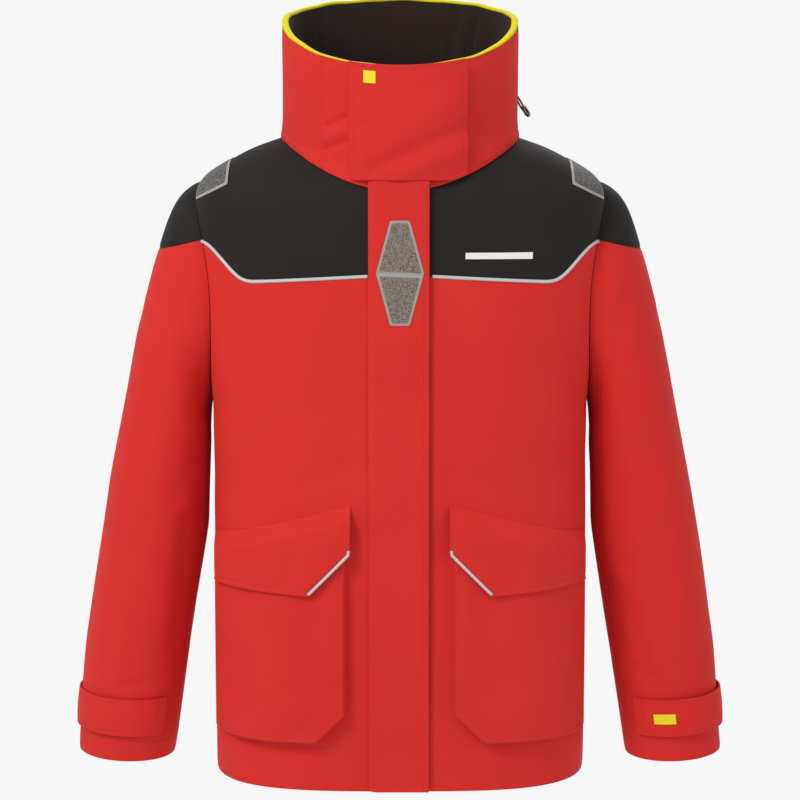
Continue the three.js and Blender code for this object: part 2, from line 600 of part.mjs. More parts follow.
add("storm_flap_hook_tape", upTheFront(
  slab(stripFrom, stripTo, FLAP_ROOM - GAP - closureTape, FLAP_ROOM - GAP), stripLow, stripHigh,
), tapeBlack);

// Reflective hexagon on the chest end of the flap.
const hexagon = frontPrism([
  [-REFLECTOR_END_HALF_WIDTH, REFLECTOR_HEIGHT - REFLECTOR_HALF_HEIGHT],
  [REFLECTOR_END_HALF_WIDTH, REFLECTOR_HEIGHT - REFLECTOR_HALF_HEIGHT],
  [REFLECTOR_HALF_WIDTH, REFLECTOR_HEIGHT],
  [REFLECTOR_END_HALF_WIDTH, REFLECTOR_HEIGHT + REFLECTOR_HALF_HEIGHT],
  [-REFLECTOR_END_HALF_WIDTH, REFLECTOR_HEIGHT + REFLECTOR_HALF_HEIGHT],
  [-REFLECTOR_HALF_WIDTH, REFLECTOR_HEIGHT],
]);
const printOut = FLAP_ROOM + FLAP_CLOTH + GAP;
add("storm_flap_reflector", upTheFront(
  slab(-REFLECTOR_HALF_WIDTH - 1, REFLECTOR_HALF_WIDTH + 1, printOut, printOut + PRINT), 0, flapTop,
).intersect(hexagon), reflective);

// ---------------------------------------------------------------- throat tab
const angleAtX = (x) => 2 * Math.PI - Math.acos(x / NECK_HALF_WIDTH);
const tabAngles = (from, to, count) => evenly(from, to, count).map(angleAtX);
const tabLow = (angle) => Math.max(TAB_BOTTOM, collarBase(angle) + 2);
const tabHigh = (angle) => collarHigh(angle) + 2;
const tabRamp = (angle) => {
  const x = NECK_HALF_WIDTH * Math.cos(angle);
  return lerp(GAP + 0.1, FLAP_ROOM, Math.min(1, (x - TAB_HINGE_X) / 10));
};
add("throat_tab", collarLayer(
  tabAngles(TAB_HINGE_X, TAB_FREE_X, 13), 1, tabLow, tabHigh,
  tabRamp, (angle) => tabRamp(angle) + FLAP_CLOTH,
), clothRed);
const tabStrip = (from, to) => collarLayer(
  tabAngles(TAB_FREE_X - 40, TAB_FREE_X - 8, 4), 1,
  (angle) => tabLow(angle) + 16, (angle) => tabHigh(angle) - 15, always(from), always(to),
);
add("throat_tab_loop_tape", tabStrip(GAP, GAP + closureTape), tapeBlack);
add("throat_tab_hook_tape", tabStrip(FLAP_ROOM - GAP - closureTape, FLAP_ROOM - GAP), tapeBlack);

// ---------------------------------------------------------------- cargo pockets
const flapSeam = (x) =>
  lerp(FLAP_SEAM_INNER, FLAP_SEAM_OUTER, (x - FLAP_INNER_X) / (POCKET_OUTER_X - FLAP_INNER_X));
const pocketMouth = (x) => flapSeam(x) - POCKET_MOUTH_DROP;
const pocketOut = (x, z) => {
  const down = (pocketMouth(x) - z) / (pocketMouth(x) - POCKET_BOTTOM);
  const middle = lerp(POCKET_MOUTH_DEPTH, POCKET_DEPTH, smooth(down, 0, 1));
  return lerp(middle, POCKET_SIDE_DEPTH, smooth(x, POCKET_OUTER_X - 50, POCKET_OUTER_X));
};
// Rows shared by the pocket and its flap: four up the pocket, then three over the mouth to the seam.
const MOUTH_ROW = 4;
const overMouth = [POCKET_MOUTH_DROP - 4, 0, -4];
const pocketRows = (x, row) => {
  if (row > MOUTH_ROW) return flapSeam(x) - overMouth[row - MOUTH_ROW - 1];
  return lerp(POCKET_BOTTOM - 8, pocketMouth(x), row / MOUTH_ROW);
};
const pocketOutline = (inset) => frontPrism([
  [POCKET_INNER_X + inset, pocketMouth(POCKET_INNER_X) + 2 * inset],
  [POCKET_INNER_X + inset, POCKET_BOTTOM + POCKET_CHAMFER + inset * Math.tan(Math.PI / 8)],
  [POCKET_INNER_X + POCKET_CHAMFER + inset * Math.tan(Math.PI / 8), POCKET_BOTTOM + inset],
  [POCKET_OUTER_X - inset, POCKET_BOTTOM + inset],
  [POCKET_OUTER_X - inset, pocketMouth(POCKET_OUTER_X) + 2 * inset],
]);
const pocketSolid = frontLayer(MOUTH_ROW, pocketRows, always(GAP), pocketOut).intersect(pocketOutline(0));
const pocketRoom = frontLayer(
  MOUTH_ROW, (x, row) => pocketRows(x, row) + (row === MOUTH_ROW ? 5 : 0),
  always(-5), (x, z) => pocketOut(x, Math.min(z, pocketMouth(x))) - FLAP_CLOTH,
).intersect(pocketOutline(FLAP_CLOTH));
addPair("pocket", pocketSolid.subtract(pocketRoom), clothRed);

// The flap follows the pocket from its slanting seam, and its lower inner corner is cut off.
const flapOut = (x, z) => {
  const drop = flapSeam(x) - z;
  const room = FLAP_END_ROOM * smooth(x, POCKET_OUTER_X - 40, POCKET_OUTER_X - 10);
  const over = pocketOut(x, Math.min(z, pocketMouth(x))) + TAPE_STACK + room;
  return lerp(GAP + room, over, THREE.MathUtils.clamp(drop / (POCKET_MOUTH_DROP - 4), 0, 1));
};
const flapRows = (x, row) => pocketRows(x, row + 2);
const flapShell = frontLayer(5, flapRows, flapOut, (x, z) => flapOut(x, z) + FLAP_CLOTH);
const chamferTop = FLAP_SEAM_INNER - FLAP_INNER_LENGTH;
const flapOutline = (low) => frontPrism([
  [FLAP_INNER_X, FLAP_SEAM_INNER], [FLAP_INNER_X, chamferTop], [FLAP_CHAMFER_X, low],
  [POCKET_OUTER_X, low], [POCKET_OUTER_X, FLAP_SEAM_OUTER],
]);
addPair("pocket_flap", flapShell.intersect(flapOutline(FLAP_BOTTOM)), clothRed);

// Reflective piping along the flap's cut-off corner.
const chamferSlope = (FLAP_BOTTOM - chamferTop) / (FLAP_CHAMFER_X - FLAP_INNER_X);
const chamferRun = Math.hypot(1, chamferSlope);
const pipingOutline = frontPrism([
  [FLAP_INNER_X, chamferTop],
  [FLAP_CHAMFER_X, FLAP_BOTTOM],
  [FLAP_CHAMFER_X, FLAP_BOTTOM + PIPING_WIDTH * chamferRun],
  [FLAP_INNER_X, chamferTop + PIPING_WIDTH * chamferRun],
]);
const onFlap = (from, to) => frontLayer(
  5, flapRows, (x, z) => flapOut(x, z) + FLAP_CLOTH + from, (x, z) => flapOut(x, z) + FLAP_CLOTH + to,
);
addPair("pocket_flap_piping", onFlap(GAP, GAP + PRINT).intersect(pipingOutline), reflective);

// Hook-and-loop strips between the flap and the pocket.
const STRIP_FROM_X = 110;
const STRIP_TO_X = 195;
const STRIP_DROP = 28;
const STRIP_TALL = 18;
const strip = frontPrism([
  [STRIP_FROM_X, flapSeam(STRIP_FROM_X) - STRIP_DROP],
  [STRIP_FROM_X, flapSeam(STRIP_FROM_X) - STRIP_DROP - STRIP_TALL],
  [STRIP_TO_X, flapSeam(STRIP_TO_X) - STRIP_DROP - STRIP_TALL],
  [STRIP_TO_X, flapSeam(STRIP_TO_X) - STRIP_DROP],
]);
const stripLayer = (from, to) => frontLayer(
  MOUTH_ROW, pocketRows, (x, z) => pocketOut(x, z) + from, (x, z) => pocketOut(x, z) + to,
).intersect(strip);
addPair("pocket_loop_tape", stripLayer(GAP, GAP + TAPE), tapeBlack);
addPair("pocket_hook_tape", stripLayer(TAPE_STACK - GAP - TAPE, TAPE_STACK - GAP), tapeBlack);

// ---------------------------------------------------------------- sleeves
// How far out of the body's side a point at a depth and height lies.
function bodySide(y, z) {
  const search = (low, high, test) => {
    for (let step = 0; step < 30; step++) {
      const middle = (low + high) / 2;
      if (test(middle)) high = middle;
      else low = middle;
    }
    return low;
  };
  const angleAt = (level) => search(-1.5, 1.5, (angle) => onBody(angle, level).y > y);
  const level = search(0.5, TOP_STATION, (middle) => onBody(angleAt(middle), middle).z > z);
  return onBody(angleAt(level), level).x;
}

// Rings down the sleeve. Each is an oval between an outer and an inner point in the front view.
const outerLine = [[0.06, 0.007], [0.18, 0.042], [0.3, 0.119], [0.48, 0.268], [0.72, 0.527], [0.93, 0.812], [1, 1]];
const innerLine = [[0.06, 0.01], [0.09, 0.05], [0.1, 0.11], [0.12, 0.2], [0.16, 0.36], [0.62, 0.7], [1, 1]];
const outerCuff = SHOULDER_HALF_WIDTH + SLEEVE_FLARE;
const innerCuff = outerCuff - CUFF_WIDTH;
const rings = [null];
outerLine.forEach(([across, down], i) => {
  const [innerAcross, innerDown] = innerLine[i];
  rings.push({
    outer: new THREE.Vector3(
      lerp(SHOULDER_HALF_WIDTH, outerCuff, across), 0, ARMHOLE_TOP - SLEEVE_DROP * down,
    ),
    inner: new THREE.Vector3(
      lerp(BODY_HALF_WIDTH, innerCuff, innerAcross), 0, lerp(ARMPIT_HEIGHT, CUFF_INNER_HEIGHT, innerDown),
    ),
    depth: lerp(ARMHOLE_HALF_DEPTH, CUFF_HALF_DEPTH, down),
    centreY: lerp(ARMHOLE_CENTRE_Y, CUFF_CENTRE_Y, down),
  });
});
const LAST_RING = rings.length - 1;

// A point on a whole ring, a distance outside the sleeve. The first ring is the armhole seam, just
// outside the body.
function onRing(ring, angle, out) {
  if (ring === 0) {
    const y = ARMHOLE_CENTRE_Y + (ARMHOLE_HALF_DEPTH + out) * Math.sin(angle);
    const z = ARMHOLE_CENTRE_HEIGHT + (ARMHOLE_HALF_HEIGHT + out) * Math.cos(angle);
    return new THREE.Vector3(bodySide(y, z) + ARMHOLE_GAP, y, z);
  }
  const { outer, inner, depth, centreY } = rings[ring];
  const centre = outer.clone().add(inner).multiplyScalar(0.5);
  const reach = outer.clone().sub(centre);
  const long = reach.length() + out;
  const point = centre.addScaledVector(reach.normalize(), long * Math.cos(angle));
  point.y = centreY + (depth + out) * Math.sin(angle);
  return point;
}
function onSleeve(place, angle, out) {
  const ring = Math.min(Math.floor(place), LAST_RING - 1);
  return onRing(ring, angle, out).lerp(onRing(ring + 1, angle, out), place - ring);
}
const sleeveAngles = evenly(0, 2 * Math.PI, SLEEVE_COLUMNS);
function sleeveLayer(angles, places, from, to) {
  const wrapped = angles.at(-1) - angles[0] > 2 * Math.PI - 0.01;
  const at = (out) => (column, row) => {
    const angle = angles[column];
    const place = places[places.length - 1 - row];
    return onSleeve(place, angle, out(angle, place));
  };
  return clothBetween(angles.length - 1, places.length - 1, at(to), at(from), wrapped);
}
const wholeSleeve = sleeveLayer(sleeveAngles, evenly(0, LAST_RING, LAST_RING), always(-CLOTH), always(0));
const capNormal = [CAP_SEAM_SLOPE, 0, 1];
const capLength = Math.hypot(...capNormal);
const capAt = (CAP_SEAM_HEIGHT + CAP_SEAM_SLOPE * (SHOULDER_HALF_WIDTH + 12)) / capLength;
const capUp = capNormal.map((value) => value / capLength);
const capDown = capUp.map((value) => -value);
addPair("sleeve_cap", wholeSleeve.trimByPlane(capUp, capAt + half), clothBlack);
addPair("sleeve", wholeSleeve.trimByPlane(capDown, -capAt + half), clothRed);

// Inner cuff, sewn to the inside of the sleeve at its top and narrower below.
const lastLength = SLEEVE_DROP * (1 - outerLine.at(-2)[1]);
const placeAt = (height) => LAST_RING - height / lastLength;
const cuffIn = -CLOTH - GAP;
addPair("inner_cuff", sleeveLayer(
  sleeveAngles,
  [INNER_CUFF_RISE + INNER_CUFF_LENGTH, INNER_CUFF_RISE + INNER_CUFF_LENGTH - 18, INNER_CUFF_RISE].map(placeAt),
  (angle, place) => cuffIn - LINING - (place > placeAt(INNER_CUFF_RISE + INNER_CUFF_LENGTH - 1) ? INNER_CUFF_STEP : 0),
  (angle, place) => cuffIn - (place > placeAt(INNER_CUFF_RISE + INNER_CUFF_LENGTH - 1) ? INNER_CUFF_STEP : 0),
), fleece);

// Cuff tab, sewn at the back and closed with hook-and-loop at the front.
const degrees = Math.PI / 180;
const tabPlaces = [placeAt(CUFF_TAB_TOP - CUFF_INNER_HEIGHT), placeAt(CUFF_TAB_BOTTOM - CUFF_INNER_HEIGHT)];
const round = (from, to, count) => evenly(from * degrees, to * degrees, count);
const tabOut = (angle) => lerp(GAP, TAPE_STACK, Math.min(1, (CUFF_TAB_SEWN * degrees - angle) / (12 * degrees)));
addPair("cuff_tab", sleeveLayer(
  round(CUFF_TAB_FREE, CUFF_TAB_SEWN, 22), tabPlaces, tabOut, (angle) => tabOut(angle) + FLAP_CLOTH,
), clothRed);
const [tabFrom, tabTo] = tabPlaces;
const stripPlaces = [lerp(tabFrom, tabTo, 0.12), lerp(tabFrom, tabTo, 0.88)];
addPair("cuff_loop_tape", sleeveLayer(
  round(CUFF_TAB_FREE + 2, CUFF_TAB_FREE + 66, 8), stripPlaces, always(GAP), always(GAP + TAPE),
), tapeBlack);
addPair("cuff_hook_tape", sleeveLayer(
  round(CUFF_TAB_FREE + 2, CUFF_TAB_FREE + 26, 4), stripPlaces,
  always(TAPE_STACK - GAP - TAPE), always(TAPE_STACK - GAP),
), tapeBlack);

// ---------------------------------------------------------------- the frame
// The origin is the middle of the hanging loop's lower edge, where a hook bears.
const bearing = onCollar(Math.PI / 2, loopLow, loopOut(Math.PI / 2, 1) - LOOP_STRAP / 2);
jacket.position.copy(bearing).negate();

export default jacket;
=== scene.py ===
import math

import bpy
import numpy as np
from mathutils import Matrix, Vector


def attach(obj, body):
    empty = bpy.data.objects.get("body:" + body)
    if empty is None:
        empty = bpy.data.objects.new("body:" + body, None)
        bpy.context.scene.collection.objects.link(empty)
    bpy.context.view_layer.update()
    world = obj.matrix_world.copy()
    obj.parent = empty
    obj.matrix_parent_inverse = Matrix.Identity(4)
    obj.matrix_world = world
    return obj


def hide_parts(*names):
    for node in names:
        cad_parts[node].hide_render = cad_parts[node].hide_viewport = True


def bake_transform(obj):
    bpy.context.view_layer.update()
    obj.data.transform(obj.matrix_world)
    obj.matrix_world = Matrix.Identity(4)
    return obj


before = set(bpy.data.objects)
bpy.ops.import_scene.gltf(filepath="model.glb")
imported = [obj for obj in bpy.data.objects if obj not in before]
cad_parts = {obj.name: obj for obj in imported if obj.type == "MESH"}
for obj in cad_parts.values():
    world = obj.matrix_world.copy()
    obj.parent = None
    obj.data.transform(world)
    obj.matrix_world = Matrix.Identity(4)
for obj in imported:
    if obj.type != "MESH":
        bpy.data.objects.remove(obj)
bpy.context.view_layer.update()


# ---------------------------------------------------------------- camera
# A long lens a little above the chest, looking slightly down at the front.
camera = bpy.data.objects.new("camera", bpy.data.cameras.new("camera"))
bpy.context.scene.collection.objects.link(camera)
camera.location = (0, -2.69377, 0.038)
view_direction = Vector((0, -0.09377, -0.334)) - camera.location
camera.rotation_euler = view_direction.to_track_quat("-Z", "Y").to_euler()
camera.data.lens = 98.5
bpy.context.scene.camera = camera


# ---------------------------------------------------------------- front panels
# The red shell of each front half, from the hem to the yoke seam and back to the side seam.
# Two-ply coated nylon with a taped inside: it hangs smooth, with only soft, wide folds.
# Each is cut flat, then sewn to the yoke, the back panel and the zip tape.
SIDES = ((1, "left"), (-1, "right"))
TINY = 1e-12
HEM_DEPTH = 155
LEAN = 30 / 830  # the centre front leans back this much for each millimetre up
HALF_WIDTH = 222
BACK_DEPTH = 138
SQUARENESS = 3.2  # 2 is an oval, and more is nearer to a rectangle
SHOULDER_HALF = 242
ARMPIT = 445
NECK_HALF = 137
NECK_Y = -17
SHOULDER_TOPS = (650, 680, 672)  # front, side and back
NECK_TOPS = (692, 750, 768)
ARMHOLE_Y, ARMHOLE_Z, ARMHOLE_DEPTH, ARMHOLE_HEIGHT = 3, 572.5, 80, 127.5
ZIP_EDGE = 9.2  # from the centre line to the cloth beside the zip
SEAM_GAP = 0.2
FAR = 60  # a distance that is well clear of a cut edge
ORIGIN = np.array([0, -93.7698, -770.0])  # from the hem's centre to the row's origin, the hanging loop


def mix(a, b, share):
    return a + (b - a) * share


def front_y(z):
    return LEAN * z - HEM_DEPTH


def body_profile():
    """Sections up the body, as rows of front, side and back height, half width, centre, back depth and
    squareness, on even steps of the way up the side, with the corners between sections eased."""
    rows = [[z, z, z, HALF_WIDTH, 0, BACK_DEPTH, SQUARENESS] for z in (0, ARMPIT)]
    for share in (0.4, 0.8, 1):
        half = mix(HALF_WIDTH, SHOULDER_HALF, share**0.75)
        rows.append([mix(ARMPIT, top, share) for top in SHOULDER_TOPS] + [half, 0, BACK_DEPTH, SQUARENESS])
    for inwards, upwards in ((0.04, 0.24), (0.15, 0.39), (0.35, 0.57), (0.65, 0.82), (1, 1)):
        rows.append(
            [mix(shoulder, neck, upwards) for shoulder, neck in zip(SHOULDER_TOPS, NECK_TOPS)]
            + [mix(SHOULDER_HALF, NECK_HALF, inwards), mix(0, NECK_Y, inwards)]
            + [mix(BACK_DEPTH, NECK_Y + NECK_HALF, inwards), mix(SQUARENESS, 2, inwards)]
        )
    rows = np.array(rows, float)
    way = np.concatenate([[0], np.cumsum(np.hypot(np.diff(rows[:, 1]), np.diff(rows[:, 3])))])
    steps = np.arange(0, way[-1] + 1, 3.0)
    steps[-1] = way[-1]
    table = np.stack([np.interp(steps, way, column) for column in rows.T], 1)
    return steps, eased(table, 4)


def eased(table, width):
    """A table with each column smoothed along its rows. The first and last rows stay."""
    reach = int(3 * width)
    weights = np.exp(-0.5 * (np.arange(-reach, reach + 1) / width) ** 2)
    weights /= weights.sum()
    before = 2 * table[:1] - table[reach:0:-1]
    after = 2 * table[-1:] - table[-2 : -reach - 2 : -1]
    whole = np.concatenate([before, table, after])
    return sum(w * whole[i : i + len(table)] for i, w in enumerate(weights))


WAY, PROFILE = body_profile()
NECK_WAY = WAY[-1]


def even_turns():
    """For some squarenesses, the share of a quarter turn that goes with each share of a quarter's edge."""
    found = []
    angle = (1 - np.cos(np.linspace(0, math.pi, 1500))) * math.pi / 4
    for square in (2.0, 2.4, 2.8, 3.2):
        x, y = np.cos(angle).clip(0) ** (2 / square), np.sin(angle).clip(0) ** (2 / square)
        edge = np.concatenate([[0], np.cumsum(np.hypot(np.diff(x), np.diff(y)))])
        found.append((edge / edge[-1], angle / (math.pi / 2)))
    return found


EVEN_TURNS = even_turns()


def body(u, way):
    """Points of the body's outside. u runs once round from the left side, by the back, in even steps."""
    u, way = np.broadcast_arrays(np.asarray(u, float), np.asarray(way, float))
    front, side, back, half, centre, deep, square = [np.interp(way, WAY, c) for c in PROFILE.T]
    turn = np.mod(u, 1.0) * 4
    quarter = np.floor(turn)
    share = turn - quarter
    place = ((square - 2) / 0.4).clip(0, 3)
    angle = np.zeros_like(share)
    for k, (edge, part) in enumerate(EVEN_TURNS):
        angle += np.interp(share, edge, part) * np.clip(1 - np.abs(place - k), 0, 1)
    angle = (quarter + angle) * math.pi / 2
    power = 2 / square
    cosine, sine = np.cos(angle), np.sin(angle)
    across = np.sign(cosine) * np.abs(cosine) ** power
    along = np.abs(sine) ** power
    in_front = sine < -TINY
    z = mix(np.where(in_front, front, back), side, across**2)
    far = np.where(in_front, front_y(z), deep)
    return np.stack([half * across, mix(centre, far, along), z], -1)


def normals_of(at, u, v, du, dv):
    """Outward unit normals of a surface at(u, v), from its slopes."""
    across = at(u + du, v) - at(u - du, v)
    up = at(u, v + dv) - at(u, v - dv)
    out = np.cross(across, up)
    return out / np.maximum(np.linalg.norm(out, axis=-1, keepdims=True), TINY)


YOKE_TABLE_X = np.arange(-400, 401, 2.0)
YOKE_TABLE_Z = eased(np.interp(abs(YOKE_TABLE_X), [0, 181, 222, 400], [598, 588, 632, 632])[:, None], 4)[:, 0]


def yoke_line(x):
    """Height of the front yoke seam, with its corner eased as the piping turns it."""
    return np.interp(x, YOKE_TABLE_X, YOKE_TABLE_Z)


def way_to(u, gap):
    """How far up the body gap(points) turns positive, at each u."""
    low, high = np.zeros_like(u), np.full_like(u, NECK_WAY)
    for _ in range(32):
        middle = (low + high) / 2
        above = gap(body(u, middle)) > 0
        low, high = np.where(above, low, middle), np.where(above, middle, high)
    return (low + high) / 2


def outside_armhole(p):
    """Millimetres outside the armhole's oval, in the side view. Points near the centre are far outside."""
    y, z = (p[:, 1] - ARMHOLE_Y) / ARMHOLE_DEPTH, (p[:, 2] - ARMHOLE_Z) / ARMHOLE_HEIGHT
    size = np.hypot(y, z)
    slope = np.hypot(y / ARMHOLE_DEPTH, z / ARMHOLE_HEIGHT) / np.maximum(size, 1e-6)
    near = (size - 1) / np.maximum(slope, 1e-6) - SEAM_GAP
    return np.where(abs(p[:, 0]) > 150, near, FAR)


def past_zip(p):
    return p[:, 0] - ZIP_EDGE


def before_side(p):
    return -p[:, 1] - SEAM_GAP


def fold(p, x0, z0, x1, z1, width, height):
    """A soft ridge or hollow along a line in the front view."""
    run, rise = x1 - x0, z1 - z0
    share = (((p[:, 0] - x0) * run + (p[:, 2] - z0) * rise) / (run * run + rise * rise)).clip(0, 1)
    far = np.hypot(p[:, 0] - x0 - share * run, p[:, 2] - z0 - share * rise)
    return height * np.exp(-((far / width) ** 2))


def folds(p, table):
    return sum(fold(p, *row) for row in table)


def softness(p, seed):
    """Slow, wide waves of hanging cloth, about a millimetre deep."""
    x, y, z = p[:, 0] + 37 * seed, p[:, 1] + 11 * seed, p[:, 2]
    wave = np.sin(x / 47 + 1.3 * np.sin(z / 90 + seed)) * np.sin(z / 71 + 0.9 * np.sin(x / 63))
    fine = np.sin(x / 21 + z / 33 + seed) * np.sin(z / 26 - y / 41)
    return 0.75 * wave + 0.22 * fine


def seam(distance, depth=1.1, width=2.6):
    """The cloth sinks towards a seam."""
    return -depth * np.exp(-((np.maximum(distance, 0) / width) ** 2))


# Folds of the two front halves: below the armpits, over the pockets and beside the storm flap. Each row is a
# line from x, z to x, z, its half width and its height.
FRONT_FOLDS = [
    (-196, 352, -150, 420, 20, -1.8), (190, 380, 140, 430, 24, -1.6), (-120, 470, -60, 330, 30, 1.2),
    (90, 560, 150, 420, 34, 1.3), (60, 420, 50, 90, 9, -0.8), (-60, 420, -48, 60, 10, -0.7),
    (205, 440, 196, 560, 12, -1.5), (-205, 440, -197, 560, 12, -1.5), (150, 340, 60, 372, 12, -0.8),
    (-150, 345, -70, 372, 12, -0.8),
]


class Skin:
    """A surface of cloth: where its points lie, its relief and its cut edges."""

    def __init__(self, at, steps, keep=(), relief=None):
        self.at, self.steps, self.keep, self.relief = at, steps, list(keep), relief

    def __call__(self, u, v, lift=0.0):
        """Points at (u, v) with the relief and a lift, and their normals."""
        flat = self.at(u, v)
        out = normals_of(self.at, u, v, *self.steps)
        if self.relief is not None:
            edge = np.full(len(flat), 1e3)
            for inside in self.keep:
                edge = np.minimum(edge, inside(flat))
            lift = lift + self.relief(flat, u, v, edge)
        return flat + out * np.reshape(lift, (-1, 1)), out


def lines(low, high, pitch, close=(), tight=0.0):
    """Grid lines from low to high about a pitch apart, with extra ones close to the given places."""
    values = list(np.linspace(low, high, max(2, int(round((high - low) / pitch)) + 1)))
    for place in close:
        values += [place + k * tight for k in (-3.2, -1.6, -0.6, 0, 0.6, 1.6, 3.2)]
    values = sorted(v for v in values if low - 1e-9 <= v <= high + 1e-9)
    kept = [values[0]]
    for value in values[1:]:
        if value - kept[-1] > 0.3 * tight:
            kept.append(value)
    kept[-1] = high
    return np.array(kept)


def cut(skin, us, vs):
    """The grid of quads over (us, vs), trimmed to the skin's cut edges: their (u, v) and the faces."""
    rows = len(vs)
    u, v = [list(a.ravel()) for a in np.meshgrid(us, vs, indexing="ij")]
    faces = [
        (i * rows + j, (i + 1) * rows + j, (i + 1) * rows + j + 1, i * rows + j + 1)
        for i in range(len(us) - 1)
        for j in range(rows - 1)
    ]
    for inside in skin.keep:
        value = inside(skin.at(np.array(u), np.array(v)))
        value = np.where(abs(value) < 1e-4, 1e-4, value).tolist()
        made, kept = {}, []
        for face in faces:
            signs = [value[k] > 0 for k in face]
            if all(signs):
                kept.append(face)
                continue
            if not any(signs):
                continue
            ring = []
            for a, b in zip(face, face[1:] + face[:1]):
                if value[a] > 0:
                    ring.append(a)
                if (value[a] > 0) != (value[b] > 0):
                    key = (min(a, b), max(a, b))
                    if key not in made:
                        share = value[key[0]] / (value[key[0]] - value[key[1]])
                        made[key] = len(u)
                        u.append(mix(u[key[0]], u[key[1]], share))
                        v.append(mix(v[key[0]], v[key[1]], share))
                    ring.append(made[key])
            if len(ring) > 2:
                kept.append(tuple(ring))
        faces = kept
    used = sorted({k for face in faces for k in face})
    place = {k: i for i, k in enumerate(used)}
    return np.array(u)[used], np.array(v)[used], [tuple(place[k] for k in face) for face in faces]


def arc_length(way):
    """How far each point of a line is along it."""
    return np.concatenate([[0], np.cumsum(np.linalg.norm(np.diff(way, axis=0), axis=1))])


def mesh_object(name, points, faces, uv, sharp=(), mirrored=False):
    """A smooth-shaded mesh in the row frame from points in millimetres above the hem."""
    points = np.array(points, float) + ORIGIN
    if mirrored:
        points = points * [-1, 1, 1]
        faces = [tuple(reversed(face)) for face in faces]
    mesh = bpy.data.meshes.new(name)
    mesh.from_pydata((points / 1000).tolist(), [], [list(map(int, face)) for face in faces])
    layer = mesh.uv_layers.new(name="cloth")
    corners = np.empty(len(mesh.loops), int)
    mesh.loops.foreach_get("vertex_index", corners)
    layer.data.foreach_set("uv", (np.array(uv)[corners] / 1000).astype(np.float32).ravel())
    mesh.polygons.foreach_set("use_smooth", [True] * len(mesh.polygons))
    if len(sharp):
        ends = np.empty(2 * len(mesh.edges), int)
        mesh.edges.foreach_get("vertices", ends)
        ends = np.sort(ends.reshape(-1, 2), axis=1)
        wanted = {(min(a, b), max(a, b)) for a, b in sharp}
        marks = mesh.attributes.new("sharp_edge", "BOOLEAN", "EDGE")
        marks.data.foreach_set("value", [tuple(e) in wanted for e in ends.tolist()])
    thing = bpy.data.objects.new(name, mesh)
    bpy.context.scene.collection.objects.link(thing)
    return thing


def cloth(name, skin, us, vs, thickness=2.0, welded=False, mirrored=False, round_edge=0.3):
    """A piece of cloth with two faces and a rounded rim, its outside on the skin. It keeps its cut size."""
    u, v, faces = cut(skin, us, vs)
    outside, out = skin(u, v)
    arc_u = arc_length(skin.at(us, np.full(len(us), vs.mean())))
    arc_v = arc_length(skin.at(np.full(len(vs), us.mean()), vs))
    uv = np.stack([np.interp(u, us, arc_u), np.interp(v, vs, arc_v)], 1)
    if welded:
        _, first, back = np.unique(np.round(outside, 2), axis=0, return_index=True, return_inverse=True)
        back = back.ravel()
        faces = [tuple(back[k] for k in face) for face in faces]
        faces = [face for face in faces if len(set(face)) == len(face)]
        outside, out, uv = outside[first], out[first], uv[first]
    inside = outside - out * thickness
    count = len(outside)
    seen = dict.fromkeys(edge for face in faces for edge in zip(face, face[1:] + face[:1]))
    rim = [(a, b) for a, b in seen if (b, a) not in seen]
    push = np.zeros_like(outside)
    for a, b in rim:
        side = np.cross(outside[b] - outside[a], out[a])
        push[a] += side
        push[b] += side
    size = np.linalg.norm(push, axis=1, keepdims=True)
    push = push / np.maximum(size, 1e-9)
    border = sorted({k for edge in rim for k in edge})
    place = {k: i for i, k in enumerate(border)}
    middle = (outside[border] + inside[border]) / 2 + push[border] * round_edge
    everything = np.concatenate([outside, inside, middle])
    shell = list(faces) + [tuple(k + count for k in reversed(face)) for face in faces]
    for a, b in rim:
        ma, mb = 2 * count + place[a], 2 * count + place[b]
        shell += [(b, a, ma, mb), (mb, ma, a + count, b + count)]
    sharp = rim + [(a + count, b + count) for a, b in rim]
    uv_all = np.concatenate([uv, uv, uv[border]])
    made = mesh_object(name, everything, shell, uv_all, sharp, mirrored)
    area = 0.0
    for face in faces:
        p = outside[list(face)]
        area += sum(
            np.linalg.norm(np.cross(p[i] - p[0], p[i + 1] - p[0])) / 2 for i in range(1, len(face) - 1)
        )
    spread = (uv.max(0) - uv.min(0)) / 1000
    made["cut"] = [float(spread[0]), float(spread[1]), float(area) / 1e6]
    return made


def linear(hex_colour, dimmed=1.0):
    """An sRGB hex colour as linear RGBA, dimmed by a factor."""
    parts = [int(hex_colour[i : i + 2], 16) / 255 for i in (1, 3, 5)]
    return (*[dimmed * (p / 12.92 if p <= 0.04045 else ((p + 0.055) / 1.055) ** 2.4) for p in parts], 1.0)


def add_node(material, kind, inputs=None, **settings):
    """One node, with its settings, and its inputs' values or links."""
    tree = material.node_tree
    made = tree.nodes.new("ShaderNode" + kind)
    for key, value in settings.items():
        setattr(made, key, value)
    for key, value in (inputs or {}).items():
        if isinstance(value, bpy.types.NodeSocket):
            tree.links.new(value, made.inputs[key])
        else:
            made.inputs[key].default_value = value
    return made


def new_material(name):
    """A node material with no nodes yet."""
    material = bpy.data.materials.new(name)
    material.use_nodes = True
    material.node_tree.nodes.clear()
    return material


